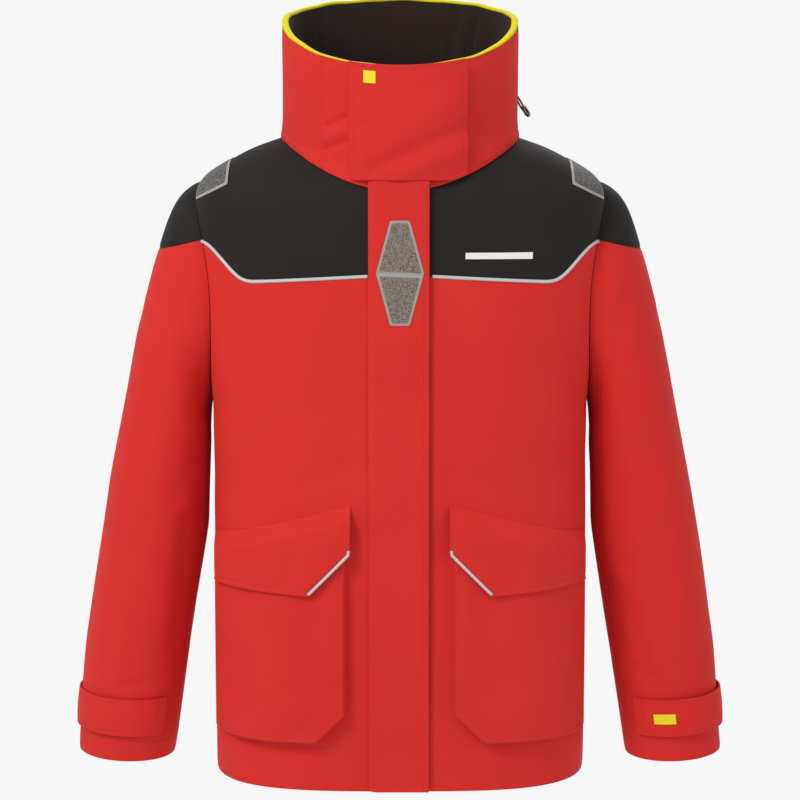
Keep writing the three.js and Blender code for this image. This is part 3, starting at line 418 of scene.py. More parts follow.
def coated_cloth(name, colour, shade, thread=1.1, sheen=0.03):
    """Plain-weave nylon, coated on the back: matt, with a fine grid of threads and a faint bloom at edges.
    The real thread pitch is about 0.35 mm; it is drawn at 1.1 mm so that it shows."""
    material = new_material(name)
    weave = add_node(material, "UVMap", uv_map="cloth").outputs[0]
    pitch = 0.3142 / (thread / 1000)
    warp = add_node(material, "TexWave", {"Vector": weave, "Scale": pitch}, bands_direction="X")
    weft = add_node(material, "TexWave", {"Vector": weave, "Scale": pitch}, bands_direction="Y")
    crossing = add_node(
        material, "Math", {0: warp.outputs["Color"], 1: weft.outputs["Color"]}, operation="MULTIPLY"
    )
    place = add_node(material, "TexCoord").outputs["Object"]
    clouds = add_node(material, "TexNoise", {"Vector": place, "Scale": 9.0, "Detail": 3.0})
    slubs = add_node(material, "TexNoise", {"Vector": place, "Scale": 900.0, "Detail": 1.0})
    threads = add_node(
        material, "Math", {0: crossing.outputs[0], 1: 0.35, 2: clouds.outputs["Fac"]},
        operation="MULTIPLY_ADD"
    )
    blend = add_node(
        material, "Mix", {"Factor": threads.outputs[0], 6: linear(shade), 7: linear(colour)},
        data_type="RGBA"
    )
    height = add_node(
        material, "Math", {0: slubs.outputs["Fac"], 1: 0.5, 2: crossing.outputs[0]},
        operation="MULTIPLY_ADD"
    )
    bump = add_node(material, "Bump", {"Height": height.outputs[0], "Strength": 0.35, "Distance": 0.00012})
    rough = add_node(material, "MapRange", {"Value": slubs.outputs["Fac"], "To Min": 0.62, "To Max": 0.78})
    shader = add_node(
        material,
        "BsdfPrincipled",
        {
            "Base Color": blend.outputs[2], "Roughness": rough.outputs[0], "Normal": bump.outputs[0],
            "IOR": 1.5, "Specular IOR Level": 0.14, "Sheen Weight": sheen, "Sheen Roughness": 0.5
        },
    )
    add_node(material, "OutputMaterial", {0: shader.outputs[0]})
    return material


red_cloth = coated_cloth("coated_nylon_red_woven", "#D92F29", "#CF2823")


def finish_piece(piece, material, body_name, nodes):
    """Gives the piece its material and body, and hides the CAD nodes that it stands for."""
    piece.data.materials.append(material)
    if body_name:
        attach(piece, body_name)
    if nodes:
        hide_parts(*nodes)
    return piece


HEM_STITCH = 53
PITCH = 4.5  # grid pitch of the large panels
GIRTH = 1280  # once round the body
PANEL_HEIGHT = 600


def front_panel(side, seed):
    """One front half: its skin and its grid lines. side is 1 for the wearer's left and -1 for the right."""
    sample = np.linspace(0.75, 1.0, 400)
    top = way_to(sample, lambda p: p[:, 2] - yoke_line(p[:, 0]))

    def at(u, v):
        return body(u, v * np.interp(u, sample, top))

    def relief(p, u, v, edge):
        shape = 0.9 * softness(p * [side, 1, 1], seed) + 1.3 * folds(p * [side, 1, 1], FRONT_FOLDS)
        shape = shape * np.clip((yoke_line(p[:, 0]) - p[:, 2]) / 40, 0, 1) * np.clip(edge / 30, 0, 1)
        line = seam(yoke_line(p[:, 0]) - p[:, 2]) + seam(edge) + seam(abs(p[:, 2] - HEM_STITCH), 0.5, 1.6)
        return shape + line - 0.5 * np.exp(-p[:, 2] / 3)

    skin = Skin(at, (1e-4, 1e-4), [outside_armhole, past_zip, before_side], relief)
    columns = lines(0.75, 0.9999, PITCH / GIRTH)
    rows = lines(0, 1, PITCH / PANEL_HEIGHT, (HEM_STITCH / PANEL_HEIGHT, 1.0), 1 / PANEL_HEIGHT)
    return skin, columns, rows


front_skins = {}
for side, word in SIDES:
    skin, columns, rows = front_panel(side, 2 + side)
    front_skins[word] = skin
    piece = cloth(f"front_panel_{word}_cloth", skin, columns, rows, mirrored=side < 0)
    finish_piece(piece, red_cloth, "shell", [f"front_panel_{word}"])


# ---------------------------------------------------------------- topstitching on the front panels
# Polyester thread in the cloth's own colour, 3 mm a stitch, sewn about 50 mm above the hem to hold it up.
# Each stitch is a small bead of thread that stands a little proud.
def stitches(name, paths, material, body_name, pitch=3.0, size=0.42, mirrored=False):
    """Beads of thread along paths, each a list of points and one of normals in millimetres."""
    bead = np.array(
        [
            [-1, 0, 0], [-0.45, 0.9, 0], [-0.45, 0, 1], [-0.45, -0.9, 0], [0.45, 0.9, 0], [0.45, 0, 1],
            [0.45, -0.9, 0], [1, 0, 0], [0, 0, -0.8]
        ]
    )
    sides = [
        (0, 1, 2), (0, 2, 3), (1, 4, 5, 2), (2, 5, 6, 3), (4, 7, 5), (5, 7, 6), (0, 8, 1), (1, 8, 4),
        (4, 8, 7), (0, 3, 8), (3, 6, 8), (6, 7, 8)
    ]
    points, faces = [], []
    for way, out in paths:
        length = arc_length(way)
        count = int(length[-1] / pitch)
        for k in range(count):
            middle = (k + 0.5) * length[-1] / count
            spot = [np.interp(middle, length, way[:, i]) for i in range(3)]
            ahead = [
                np.interp(middle + 1, length, way[:, i]) - np.interp(middle - 1, length, way[:, i])
                for i in range(3)
            ]
            up = np.array([np.interp(middle, length, out[:, i]) for i in range(3)])
            along = np.array(ahead) / max(np.linalg.norm(ahead), 1e-9)
            across = np.cross(up, along)
            across /= max(np.linalg.norm(across), 1e-9)
            up = np.cross(along, across)
            start = len(points)
            for x, y, z in bead:
                points.append(spot + along * x * pitch * 0.4 + across * y * size + up * z * size)
            faces += [tuple(start + i for i in face) for face in sides]
    thread = mesh_object(name, np.array(points), faces, np.array(points)[:, [0, 2]], mirrored=mirrored)
    return finish_piece(thread, material, body_name, [])


def polyester_thread(name, colour):
    """Spun polyester sewing thread: soft, slightly shiny, a little lighter than the cloth."""
    material = new_material(name)
    place = add_node(material, "TexCoord").outputs["Object"]
    twist = add_node(material, "TexNoise", {"Vector": place, "Scale": 2500.0, "Detail": 2.0})
    tone = add_node(
        material, "Mix", {"Factor": twist.outputs["Fac"], 6: linear(colour), 7: linear(colour, 0.82)},
        data_type="RGBA"
    )
    shader = add_node(
        material, "BsdfPrincipled", {"Base Color": tone.outputs[2], "Roughness": 0.55, "Sheen Weight": 0.2}
    )
    add_node(material, "OutputMaterial", {0: shader.outputs[0]})
    return material


red_thread = polyester_thread("polyester_thread_red", "#D8342D")


def line_on(skin, u, v, lift=0.12):
    """Points and normals along (u, v) on a skin."""
    u, v = np.broadcast_arrays(np.asarray(u, float), np.asarray(v, float))
    return skin(u.ravel(), v.ravel(), lift)


for side, word in SIDES:
    skin = front_skins[word]
    along = np.linspace(0.7535, 0.999, 300)
    hem = line_on(skin, along, np.full(300, HEM_STITCH / PANEL_HEIGHT))
    stitches(f"front_hem_stitching_{word}", [hem], red_thread, "shell", mirrored=side < 0)


# ---------------------------------------------------------------- front yokes
# Black panels over the chest and shoulders, in the same coated cloth, sewn along the piped seam
# and up to the collar. They take the weight, so they hang smoother than the red.
black_cloth = coated_cloth("coated_nylon_black_woven", "#272321", "#211E1C", sheen=0.02)
FRONT_YOKE_HEIGHT = 190
YOKE_FOLDS = [(120, 660, 185, 700, 14, -1.2), (60, 640, 150, 612, 22, 0.8)]


def front_yoke(side, seed):
    """One front yoke: its skin and its grid lines."""
    sample = np.linspace(0.75, 1.0, 400)
    low = way_to(sample, lambda p: p[:, 2] - yoke_line(p[:, 0]))

    def at(u, v):
        start = np.interp(u, sample, low)
        return body(u, mix(start, NECK_WAY, v))

    def relief(p, u, v, edge):
        shape = 0.5 * softness(p * [side, 1, 1], seed)
        shape += folds(p, YOKE_FOLDS)
        above = p[:, 2] - yoke_line(p[:, 0])
        fade = np.clip(above / 25, 0, 1) * np.clip((1 - v) * 6, 0, 1) * np.clip(edge / 25, 0, 1)
        return shape * fade + seam(above) + seam(edge)

    skin = Skin(at, (1e-4, 1e-3), [outside_armhole, past_zip, before_side], relief)
    rows = lines(0, 1, PITCH / FRONT_YOKE_HEIGHT, (0.0,), 1 / FRONT_YOKE_HEIGHT)
    return skin, lines(0.75, 0.9999, PITCH / GIRTH), rows


for side, word in SIDES:
    skin, columns, rows = front_yoke(side, 5 + side)
    piece = cloth(f"front_yoke_{word}_cloth", skin, columns, rows, mirrored=side < 0)
    finish_piece(piece, black_cloth, "shell", [f"front_yoke_{word}"])


# ---------------------------------------------------------------- back panel and back yoke
# One wide red panel and one black yoke over the shoulder blades, with a straight seam between them.
BACK_SEAM = 600
BACK_YOKE_HEIGHT = 200


def back_piece(low, high, seed, calm):
    """A back panel between two heights, where 0 stands for the hem or the neck."""
    sample = np.linspace(0.0, 0.5, 400)
    start = way_to(sample, lambda p: p[:, 2] - low) if low else np.zeros(400)
    end = way_to(sample, lambda p: p[:, 2] - high) if high else np.full(400, NECK_WAY)

    def at(u, v):
        return body(u, mix(np.interp(u, sample, start), np.interp(u, sample, end), v))

    def relief(p, u, v, edge):
        shape = calm * softness(p, seed) * np.clip(abs(p[:, 2] - BACK_SEAM) / 30, 0, 1)
        shape *= np.clip(edge / 30, 0, 1)
        if low == 0:
            shape += folds(p, BACK_FOLDS) * np.clip((BACK_SEAM - p[:, 2]) / 40, 0, 1)
        shape *= np.clip((NECK_TOPS[2] - p[:, 2]) / 25, 0, 1)
        return shape + seam(abs(p[:, 2] - BACK_SEAM)) + seam(edge) + seam(abs(p[:, 2] - HEM_STITCH), 0.5, 1.6)

    return Skin(at, (1e-4, 1e-4), [outside_armhole], relief)


BACK_FOLDS = [
    (-120, 520, -60, 260, 26, 1.8), (110, 540, 150, 300, 30, 1.7), (20, 420, -30, 120, 34, 1.4),
    (-190, 430, -120, 380, 14, -1.6), (190, 430, 130, 370, 15, -1.6),
]
back_skin = back_piece(0, BACK_SEAM, 1.5, 1.0)
back_columns = lines(0.0001, 0.4999, PITCH / GIRTH)
piece = cloth(
    "back_panel_cloth", back_skin, back_columns,
    lines(0, 1, PITCH / PANEL_HEIGHT, (HEM_STITCH / PANEL_HEIGHT, 1.0), 1 / PANEL_HEIGHT)
)
finish_piece(piece, red_cloth, "shell", ["back_panel"])
back_yoke_skin = back_piece(BACK_SEAM, 0, 4.5, 0.5)
piece = cloth(
    "back_yoke_cloth", back_yoke_skin, back_columns,
    lines(0, 1, PITCH / BACK_YOKE_HEIGHT, (0.0,), 1 / BACK_YOKE_HEIGHT)
)
finish_piece(piece, black_cloth, "shell", ["back_yoke"])
along = np.linspace(0.001, 0.499, 700)
back_lines = [line_on(back_skin, along, np.full(700, HEM_STITCH / PANEL_HEIGHT))]
back_lines += [line_on(back_skin, np.linspace(0.11, 0.39, 500), np.full(500, 1 - 6 / PANEL_HEIGHT))]
stitches("back_panel_stitching", back_lines, red_thread, "shell")
black_thread = polyester_thread("polyester_thread_black", "#38332F")
across = np.linspace(0.11, 0.39, 500)
stitches(
    "back_yoke_stitching", [line_on(back_yoke_skin, across, np.full(500, 0.03))], black_thread, "shell",
)


# ---------------------------------------------------------------- yoke piping
# A 4 mm welt of silver-grey reflective tape folded over a cord and caught in the yoke seam.
def reflective_tape(name, colour, shade):
    """Glass-bead reflective tape: pale grey, satin, with a fine grain of beads."""
    material = new_material(name)
    place = add_node(material, "TexCoord").outputs["Object"]
    beads = add_node(material, "TexVoronoi", {"Vector": place, "Scale": 1400.0})
    tone = add_node(
        material, "Mix", {"Factor": beads.outputs["Distance"], 6: linear(shade), 7: linear(colour)},
        data_type="RGBA"
    )
    bump = add_node(
        material, "Bump", {"Height": beads.outputs["Distance"], "Strength": 0.2, "Distance": 0.0001}
    )
    shader = add_node(
        material,
        "BsdfPrincipled",
        {
            "Base Color": tone.outputs[2], "Roughness": 0.42, "Specular IOR Level": 0.5,
            "Normal": bump.outputs[0]
        },
    )
    add_node(material, "OutputMaterial", {0: shader.outputs[0]})
    return material


silver_tape = reflective_tape("reflective_tape_silver", "#CDD2D1", "#B4B9B8")


def welt(name, way, out, width, height, mirrored):
    """A rounded ridge along points on a surface: a cord under folded tape, with a flat seam edge."""
    section = [
        (-0.5, -0.5), (-0.5, 0.1), (-0.42, 0.55), (-0.2, 0.95), (0.1, 1.0), (0.32, 0.7), (0.42, 0.42),
        (0.5, 0.2), (0.5, -0.5)
    ]
    ahead = np.gradient(way, axis=0)
    ahead /= np.linalg.norm(ahead, axis=1, keepdims=True)
    across = np.cross(out, ahead)
    across /= np.linalg.norm(across, axis=1, keepdims=True)
    rings = [way + across * a * width + out * h * height for a, h in section]
    count, size = len(way), len(section)
    points = np.stack(rings, 1).reshape(-1, 3)
    faces = [
        (i * size + (k + 1) % size, i * size + k, (i + 1) * size + k, (i + 1) * size + (k + 1) % size)
        for i in range(count - 1)
        for k in range(size)
    ]
    faces += [tuple(range(size)), tuple(reversed(range((count - 1) * size, count * size)))]
    return mesh_object(name, points, faces, points[:, [0, 2]], mirrored=mirrored)


sample_u = np.linspace(0.75, 1.0, 900)
seam_way = way_to(sample_u, lambda p: p[:, 2] - yoke_line(p[:, 0]))
seam_points = body(sample_u, seam_way)
seam_out = normals_of(body, sample_u, seam_way, 1e-4, 0.5)
on_front = (seam_points[:, 0] > 36.3) & (outside_armhole(seam_points) > 0) & (seam_points[:, 1] < 0)
piping_way, piping_out = seam_points[on_front][::3], seam_out[on_front][::3]
for side, word in SIDES:
    piece = welt(f"yoke_piping_{word}_welt", piping_way - piping_out * 0.4, piping_out, 3.9, 2.0, side < 0)
    finish_piece(piece, silver_tape, "shell", [f"yoke_piping_{word}"])


# ---------------------------------------------------------------- shoulder patches
# A reflective print bonded over the end of each shoulder: a dark beaded field inside a pale, smooth border.
def beaded_print(name, dark, pale, bead):
    """Printed reflective film: dark grey with a crackled net of pale beads, satin, slightly raised.
    The real beads are about 0.1 mm; the net is drawn at about 3 mm, as the print clumps them."""
    material = new_material(name)
    place = add_node(material, "TexCoord").outputs["Object"]
    warp = add_node(material, "TexNoise", {"Vector": place, "Scale": 420.0, "Detail": 2.0})
    jitter = add_node(
        material, "Mix", {"Factor": 0.012, 4: place, 5: warp.outputs["Color"]}, data_type="VECTOR"
    )
    net = add_node(
        material, "TexVoronoi", {"Vector": jitter.outputs[1], "Scale": 1000 / bead},
        feature="DISTANCE_TO_EDGE"
    )
    fleck = add_node(material, "TexNoise", {"Vector": place, "Scale": 1300.0, "Detail": 3.0})
    sharp = add_node(
        material, "MapRange",
        {"Value": net.outputs["Distance"], "From Max": 0.16, "To Min": 1.0, "To Max": 0.0}
    )
    amount = add_node(material, "Math", {0: sharp.outputs[0], 1: fleck.outputs["Fac"]}, operation="MULTIPLY")
    tone = add_node(
        material, "Mix", {"Factor": amount.outputs[0], 6: linear(dark), 7: linear(pale)}, data_type="RGBA"
    )
    bump = add_node(material, "Bump", {"Height": amount.outputs[0], "Strength": 0.4, "Distance": 0.0002})
    shader = add_node(
        material,
        "BsdfPrincipled",
        {
            "Base Color": tone.outputs[2], "Roughness": 0.6, "Specular IOR Level": 0.2,
            "Normal": bump.outputs[0]
        },
    )
    add_node(material, "OutputMaterial", {0: shader.outputs[0]})
    return material


patch_print = beaded_print("beaded_reflective_print", "#35302D", "#BDB7AF", 3.2)
print_border = reflective_tape("reflective_print_border", "#A9A8A2", "#8E8C86")


def shoulder_patch(inset, lift, name, nodes, material, mirrored):
    """The patch's outline on the shoulder, drawn in from its edge, as a thin print."""

    def within(p):
        lower = (p[:, 2] - 699 + (p[:, 0] - 194.5) * 0.49) / 1.11 + np.where(p[:, 1] > 0, FAR, 0)
        return np.minimum.reduce([p[:, 0] - 197 - inset, lower - inset, 52 - inset - p[:, 1]])

    def clear(p):
        return outside_armhole(p) - 9.5 - inset

    def raised(p, u, v, edge):
        return np.full(len(p), lift)

    skin = Skin(body, (1e-4, 0.5), [within, clear, lambda p: p[:, 2] - 640], raised)
    up_shoulder = lines(NECK_WAY - 330, NECK_WAY - 20, 2.6)
    piece = cloth(name, skin, lines(-0.24, 0.16, 0.0022), up_shoulder, 0.5, mirrored=mirrored)
    finish_piece(piece, material, "shell", nodes)


for side, word in SIDES:
    node = f"shoulder_patch_{word}"
    shoulder_patch(0, 0.9, f"{node}_border", [node], print_border, side < 0)
    shoulder_patch(3, 1.3, f"{node}_print", [], patch_print, side < 0)


# ---------------------------------------------------------------- body lining
# Dark fleece inside the body, seen through the hem and the open front.
def brushed_fleece(name, colour, shade):
    """Knitted polyester, brushed to a short pile: very matt, soft-edged, with a slight bloom.
    The real pile is about 0.05 mm thick fibres; its clumps are drawn at about 1.5 mm."""
    material = new_material(name)
    place = add_node(material, "TexCoord").outputs["Object"]
    pile = add_node(material, "TexNoise", {"Vector": place, "Scale": 650.0, "Detail": 5.0, "Roughness": 0.7})
    tufts = add_node(material, "TexNoise", {"Vector": place, "Scale": 120.0, "Detail": 3.0})
    both = add_node(
        material, "Math", {0: pile.outputs["Fac"], 1: 0.6, 2: tufts.outputs["Fac"]},
        operation="MULTIPLY_ADD"
    )
    tone = add_node(
        material, "Mix", {"Factor": pile.outputs["Fac"], 6: linear(shade), 7: linear(colour)},
        data_type="RGBA"
    )
    bump = add_node(material, "Bump", {"Height": both.outputs[0], "Strength": 0.8, "Distance": 0.0006})
    shader = add_node(
        material,
        "BsdfPrincipled",
        {
            "Base Color": tone.outputs[2], "Roughness": 0.95, "Normal": bump.outputs[0],
            "Specular IOR Level": 0.1, "Sheen Weight": 0.15, "Sheen Roughness": 0.4
        },
    )
    add_node(material, "OutputMaterial", {0: shader.outputs[0]})
    return material


fleece = brushed_fleece("brushed_polyester_fleece_dark", "#382C28", "#221A17")
LINING_IN = 4.8


def inside_body(u, v):
    """The body's inner side, with u running backwards so that it faces in."""
    turn = 0.25 - u
    return body(turn, v) - normals_of(body, turn, v, 1e-4, 0.5) * (LINING_IN + 1.4)


def lining_waves(p, u, v, edge):
    return 0.7 * (1 + softness(p * 1.6, 3)) * np.clip(edge / 20, 0, 1)


def lining_front(p):
    return np.where(p[:, 1] < 0, abs(p[:, 0]) - 36.5, FAR)


lining_skin = Skin(inside_body, (1e-4, 0.5), [outside_armhole, lining_front], lining_waves)
piece = cloth(
    "body_lining_cloth", lining_skin, lines(0, 1, 0.0075), lines(24, NECK_WAY - 6, 9), 1.2, welded=True
)
finish_piece(piece, fleece, "shell", ["body_lining"])


# ---------------------------------------------------------------- collar
# A tall funnel collar in the red cloth: two front halves and a back piece, each with its lower edge
# turned under and stitched down over the yokes. It stands up, so it creases across when the neck is closed.
COLLAR_TOPS = (830, 884, 912)  # front, side and back
COLLAR_HEIGHT = 138
COLLAR_STITCH = (9 / COLLAR_HEIGHT, 131 / COLLAR_HEIGHT)


def collar_base(turn):
    front, side, back = NECK_TOPS
    return mix(np.where(np.sin(turn) < 0, front, back), side, np.cos(turn) ** 2)


def collar_top(turn):
    front, side, back = COLLAR_TOPS
    return mix(side, np.where(np.sin(turn) < 0, front, back), abs(np.sin(turn)))


def round_collar(turn, z, out):
    """Points round the collar at a height, standing out from its shell."""
    depth = np.where(np.sin(turn) < 0, NECK_Y - front_y(z), NECK_HALF)
    x, y = np.cos(turn) / NECK_HALF, np.sin(turn) / depth
    size = np.hypot(x, y)
    across = NECK_HALF * np.cos(turn) + x / size * out
    return np.stack([across, NECK_Y + depth * np.sin(turn) + y / size * out, z + 0 * turn], -1)


def collar_at(u, v):
    turn = u * 2 * math.pi
    return round_collar(turn, mix(collar_base(turn), collar_top(turn), v), 0.0)


COLLAR_SEAM_X = -88
HOOD_ZIP = 797
SLOT_HALF = 3.2
COLLAR_FOLDS = [
    (-82, 764, -60, 775, 3.4, -3.0), (-85, 738, -60, 747, 3.6, -2.6), (-84, 751, -62, 760, 5, 1.6),
    (-126, 800, -98, 740, 10, -1.6), (80, 742, 118, 792, 12, -2.4), (84, 720, 124, 748, 9, 1.8),
    (-110, 742, -70, 722, 7, -1.2), (78, 812, 100, 764, 6, 1.2),
]


def collar_relief(p, u, v, edge):
    height = collar_top(u * 2 * math.pi) - collar_base(u * 2 * math.pi)
    up = v * height
    shape = 0.7 * softness(p * [1.4, 1, 1.4], 7) + 2.2 * np.exp(-((up / 13) ** 2)) + 0.4
    shape += folds(p, COLLAR_FOLDS) * (p[:, 1] < -20)
    shape += seam(abs(up - 9), 0.5, 1.5) + seam(abs(height - up - 7), 0.35, 1.4)
    shape += seam(abs(p[:, 0] - COLLAR_SEAM_X), 0.9, 2.2) * (p[:, 1] < -20)
    zip_away = np.maximum(abs(p[:, 2] - HOOD_ZIP) - SLOT_HALF, 0) * (p[:, 1] > 0) + 99 * (p[:, 1] <= 0)
    calm = 1 - np.exp(-((zip_away / 9) ** 2))
    return shape * calm - 1.6 * np.exp(-((np.maximum(height - up, 0) / 5) ** 2)) * (p[:, 1] < 9)


def zip_slot(p):
    """Clear of the slot for the hood's zip."""
    turn = np.degrees(np.arctan2(p[:, 1] - NECK_Y, p[:, 0]))
    return np.maximum(abs(p[:, 2] - HOOD_ZIP) - SLOT_HALF, np.maximum(8.6 - turn, turn - 171.4) * 2.4)


collar_rows = lines(0, 1, 0.02, COLLAR_STITCH, 0.009)
collar_rows = np.unique(np.concatenate([collar_rows, [0.004, 0.012]]))
collar_skin = Skin(collar_at, (1e-4, 1e-3), [], collar_relief)
seam_u = (math.pi * 2 - math.acos(COLLAR_SEAM_X / NECK_HALF)) / (2 * math.pi)
for word, first, last, close in (("left", 0.7607, 0.99985, ()), ("right", 0.50015, 0.7393, (seam_u,))):
    columns = lines(first, last, 0.0042, close, 0.0019)
    piece = cloth(f"collar_{word}_cloth", collar_skin, columns, collar_rows, 2.0)
    finish_piece(piece, red_cloth, "shell", [f"collar_{word}"])
collar_back_skin = Skin(collar_at, (1e-4, 1e-3), [zip_slot], collar_relief)
slot_rows = np.unique(np.concatenate([collar_rows, np.linspace(0.1, 0.45, 60)]))
piece = cloth("collar_back_cloth", collar_back_skin, lines(0.00015, 0.49985, 0.0042), slot_rows, 2.0)
finish_piece(piece, red_cloth, "shell", ["collar_back"])

whole = np.linspace(0.001, 0.499, 420)
collar_lines = []
for first, last in ((0.762, 0.999), (0.501, 0.738)):
    half_way = np.linspace(first, last, 260)
    for height in COLLAR_STITCH:
        collar_lines.append(line_on(collar_skin, half_way, np.full(260, height)))
for offset in (-2.4, 2.4):
    place = (2 * math.pi - math.acos((COLLAR_SEAM_X + offset) / NECK_HALF)) / (2 * math.pi)
    collar_lines.append(line_on(collar_skin, np.full(120, place), np.linspace(0.01, 0.98, 120)))
collar_lines += [line_on(collar_back_skin, whole, np.full(420, height)) for height in COLLAR_STITCH]
stitches("collar_stitching", collar_lines, red_thread, "shell", size=0.36)

LINING_DEPTH = 6
HOOD_DEPTH = 14
# Creases up the collar's lining, each a place and a half width in degrees and a height.
LINING_CREASES = [
    (-70, 5.5, -1.6), (-101, 7, -1.4), (138, 2.6, -2.4), (57, 2.6, -3.0), (45, 2.2, -3.0), (51, 3, 2.4),
    (132, 4, 1.6), (90, 8, 1.8), (112, 6, 1.2), (74, 5, 1.6), (36, 4, 1.8),
]


def lining_out(turn, share):
    return -LINING_DEPTH - HOOD_DEPTH * np.maximum(0, np.sin(turn)) * np.sin(math.pi * share)


def collar_lining_at(u, v):
    turn = -u * 2 * math.pi
    z = mix(collar_base(turn), collar_top(turn), v)
    return round_collar(turn, z, lining_out(turn, v) - 1.4)


def collar_opening(p):
    return np.where(p[:, 1] < NECK_Y, abs(p[:, 0]) - ZIP_EDGE, 30)


def collar_lining_relief(p, u, v, edge):
    degrees = np.degrees(np.arctan2(p[:, 1] - NECK_Y, p[:, 0]))
    shape = 0.8 * softness(p * 1.5, 9)
    for place, width, height in LINING_CREASES:
        bend = place + 3 * np.sin(v * 3 + place)
        crease = height * np.exp(-(((degrees - bend) / width) ** 2))
        shape += crease * np.sin(math.pi * np.clip(v, 0, 1)) ** 0.6
    return shape * np.clip(v * 8, 0, 1) * np.clip((1 - v) * 10, 0, 1) - 0.4


collar_lining_skin = Skin(collar_lining_at, (1e-4, 1e-3), [collar_opening], collar_lining_relief)
piece = cloth(
    "collar_lining_cloth", collar_lining_skin, lines(0, 1, 0.005), lines(0.003, 0.997, 0.03), 1.3,
    welded=True
)
finish_piece(piece, fleece, "shell", ["collar_lining"])


# ---------------------------------------------------------------- collar binding
# A bright yellow woven tape folded over the collar's top edge and stitched through.
binding_cloth = coated_cloth("woven_binding_tape_yellow", "#EFE100", "#D9C800", thread=0.9, sheen=0.03)


def ribbon(name, way, across, up, section):
    """A strip with one rounded section run along points. across and up are the section's axes there."""
    count, size = len(way), len(section)
    points = np.stack([way + across * a + up * b for a, b in section], 1).reshape(-1, 3)
    faces = [
        (i * size + k, (i + 1) * size + k, (i + 1) * size + (k + 1) % size, i * size + (k + 1) % size)
        for i in range(count - 1)
        for k in range(size)
    ]
    faces += [tuple(reversed(range(size))), tuple(range((count - 1) * size, count * size))]
    uv = np.stack([np.repeat(arc_length(way), size), np.tile(np.arange(size) * 2.0, count)], 1)
    return mesh_object(name, points, faces, uv)


def oval(width, height, count=12, power=0.6):
    """A rounded-box section, anticlockwise."""
    turn = np.arange(count) * 2 * math.pi / count
    x = np.sign(np.cos(turn)) * abs(np.cos(turn)) ** power * width / 2
    y = np.sign(np.sin(turn)) * abs(np.sin(turn)) ** power * height / 2
    return list(zip(x, y))


turns = np.linspace(-math.pi / 2 + 0.0664, 3 * math.pi / 2 - 0.0664, 340)
rim_top = collar_top(turns)
rim_path = round_collar(turns, rim_top + 1.2, -3.8)
rim_path[:, 2] += 0.5 * np.sin(turns * 9) + 0.3 * np.sin(turns * 17 + 1)
rim_out = round_collar(turns, rim_top, 1.0) - round_collar(turns, rim_top, 0.0)
ahead = np.gradient(rim_path, axis=0)
ahead /= np.linalg.norm(ahead, axis=1, keepdims=True)
rim_up = np.cross(rim_out, ahead)
rim_up /= np.linalg.norm(rim_up, axis=1, keepdims=True)
rim_up *= mix(0.42, 1.0, np.clip((np.sin(turns) + 0.9) / 0.8, 0, 1))[:, None]
piece = ribbon("collar_binding_tape", rim_path, rim_out, rim_up, oval(7.2, 4.0, 14))
finish_piece(piece, binding_cloth, "shell", ["collar_binding"])
rim_edge = round_collar(turns, rim_top + 0.6, 0.25)
yellow_thread = polyester_thread("polyester_thread_yellow", "#E6D600")
stitches("binding_stitching", [(rim_edge, rim_out)], yellow_thread, "shell", size=0.3)


# ---------------------------------------------------------------- stowed hood
# The yellow hood, rolled and folded flat between the collar's back and its lining.
hood_cloth = coated_cloth("coated_nylon_hood_yellow", "#E9DA1C", "#CDBD10", thread=1.0)


def hood_at(u, v):
    turn = u * math.pi
    base, top = collar_base(turn) + 30, collar_top(turn) - 30
    return round_collar(turn, mix(base, top, v), -LINING_DEPTH - 1.6)


def hood_rolls(p, u, v, edge):
    return -0.7 + 0.5 * np.sin(v * 19 + 1.5 * np.sin(u * 21)) * np.minimum(1, edge)


piece = cloth(
    "stowed_hood_roll", Skin(hood_at, (1e-3, 1e-3), [], hood_rolls), lines(0.23, 0.77, 0.012),
    lines(0, 1, 0.035), 1.6
)
finish_piece(piece, hood_cloth, "shell", ["stowed_hood"])


# ---------------------------------------------------------------- hood zip
# A coil zip let into the back of the collar: two rows of moulded nylon turns, a metal slider and a cord pull.
def moulded_nylon(name, colour, rough=0.42):
    """Injection-moulded nylon: near black, a soft shine and a faint unevenness from the mould."""
    material = new_material(name)
    place = add_node(material, "TexCoord").outputs["Object"]
    cast = add_node(material, "TexNoise", {"Vector": place, "Scale": 500.0, "Detail": 2.0})
    tone = add_node(
        material, "Mix", {"Factor": cast.outputs["Fac"], 6: linear(colour), 7: linear(colour, 0.75)},
        data_type="RGBA"
    )
    gloss = add_node(
        material, "MapRange", {"Value": cast.outputs["Fac"], "To Min": rough - 0.06, "To Max": rough + 0.08}
    )
    bump = add_node(material, "Bump", {"Height": cast.outputs["Fac"], "Strength": 0.15, "Distance": 0.0001})
    shader = add_node(
        material, "BsdfPrincipled",
        {
            "Base Color": tone.outputs[2], "Roughness": gloss.outputs[0], "Normal": bump.outputs[0],
            "IOR": 1.53
        }
    )
    add_node(material, "OutputMaterial", {0: shader.outputs[0]})
    return material


nylon = moulded_nylon("moulded_nylon_black", "#242425")


def blocks(name, spots, ahead, across, up, shape, body_name, nodes, material):
    """Many small rounded blocks in one mesh, one at each spot. shape is half (length, width, height)."""
    corners, sides = rounded_block(*shape)
    points, faces = [], []
    for spot, x, y, z in zip(spots, ahead, across, up):
        start = len(points)
        points += [spot + x * a + y * b + z * c for a, b, c in corners]
        faces += [tuple(start + i for i in face) for face in sides]
    made = mesh_object(name, np.array(points), faces, np.array(points)[:, [0, 2]])
    return finish_piece(made, material, body_name, nodes)


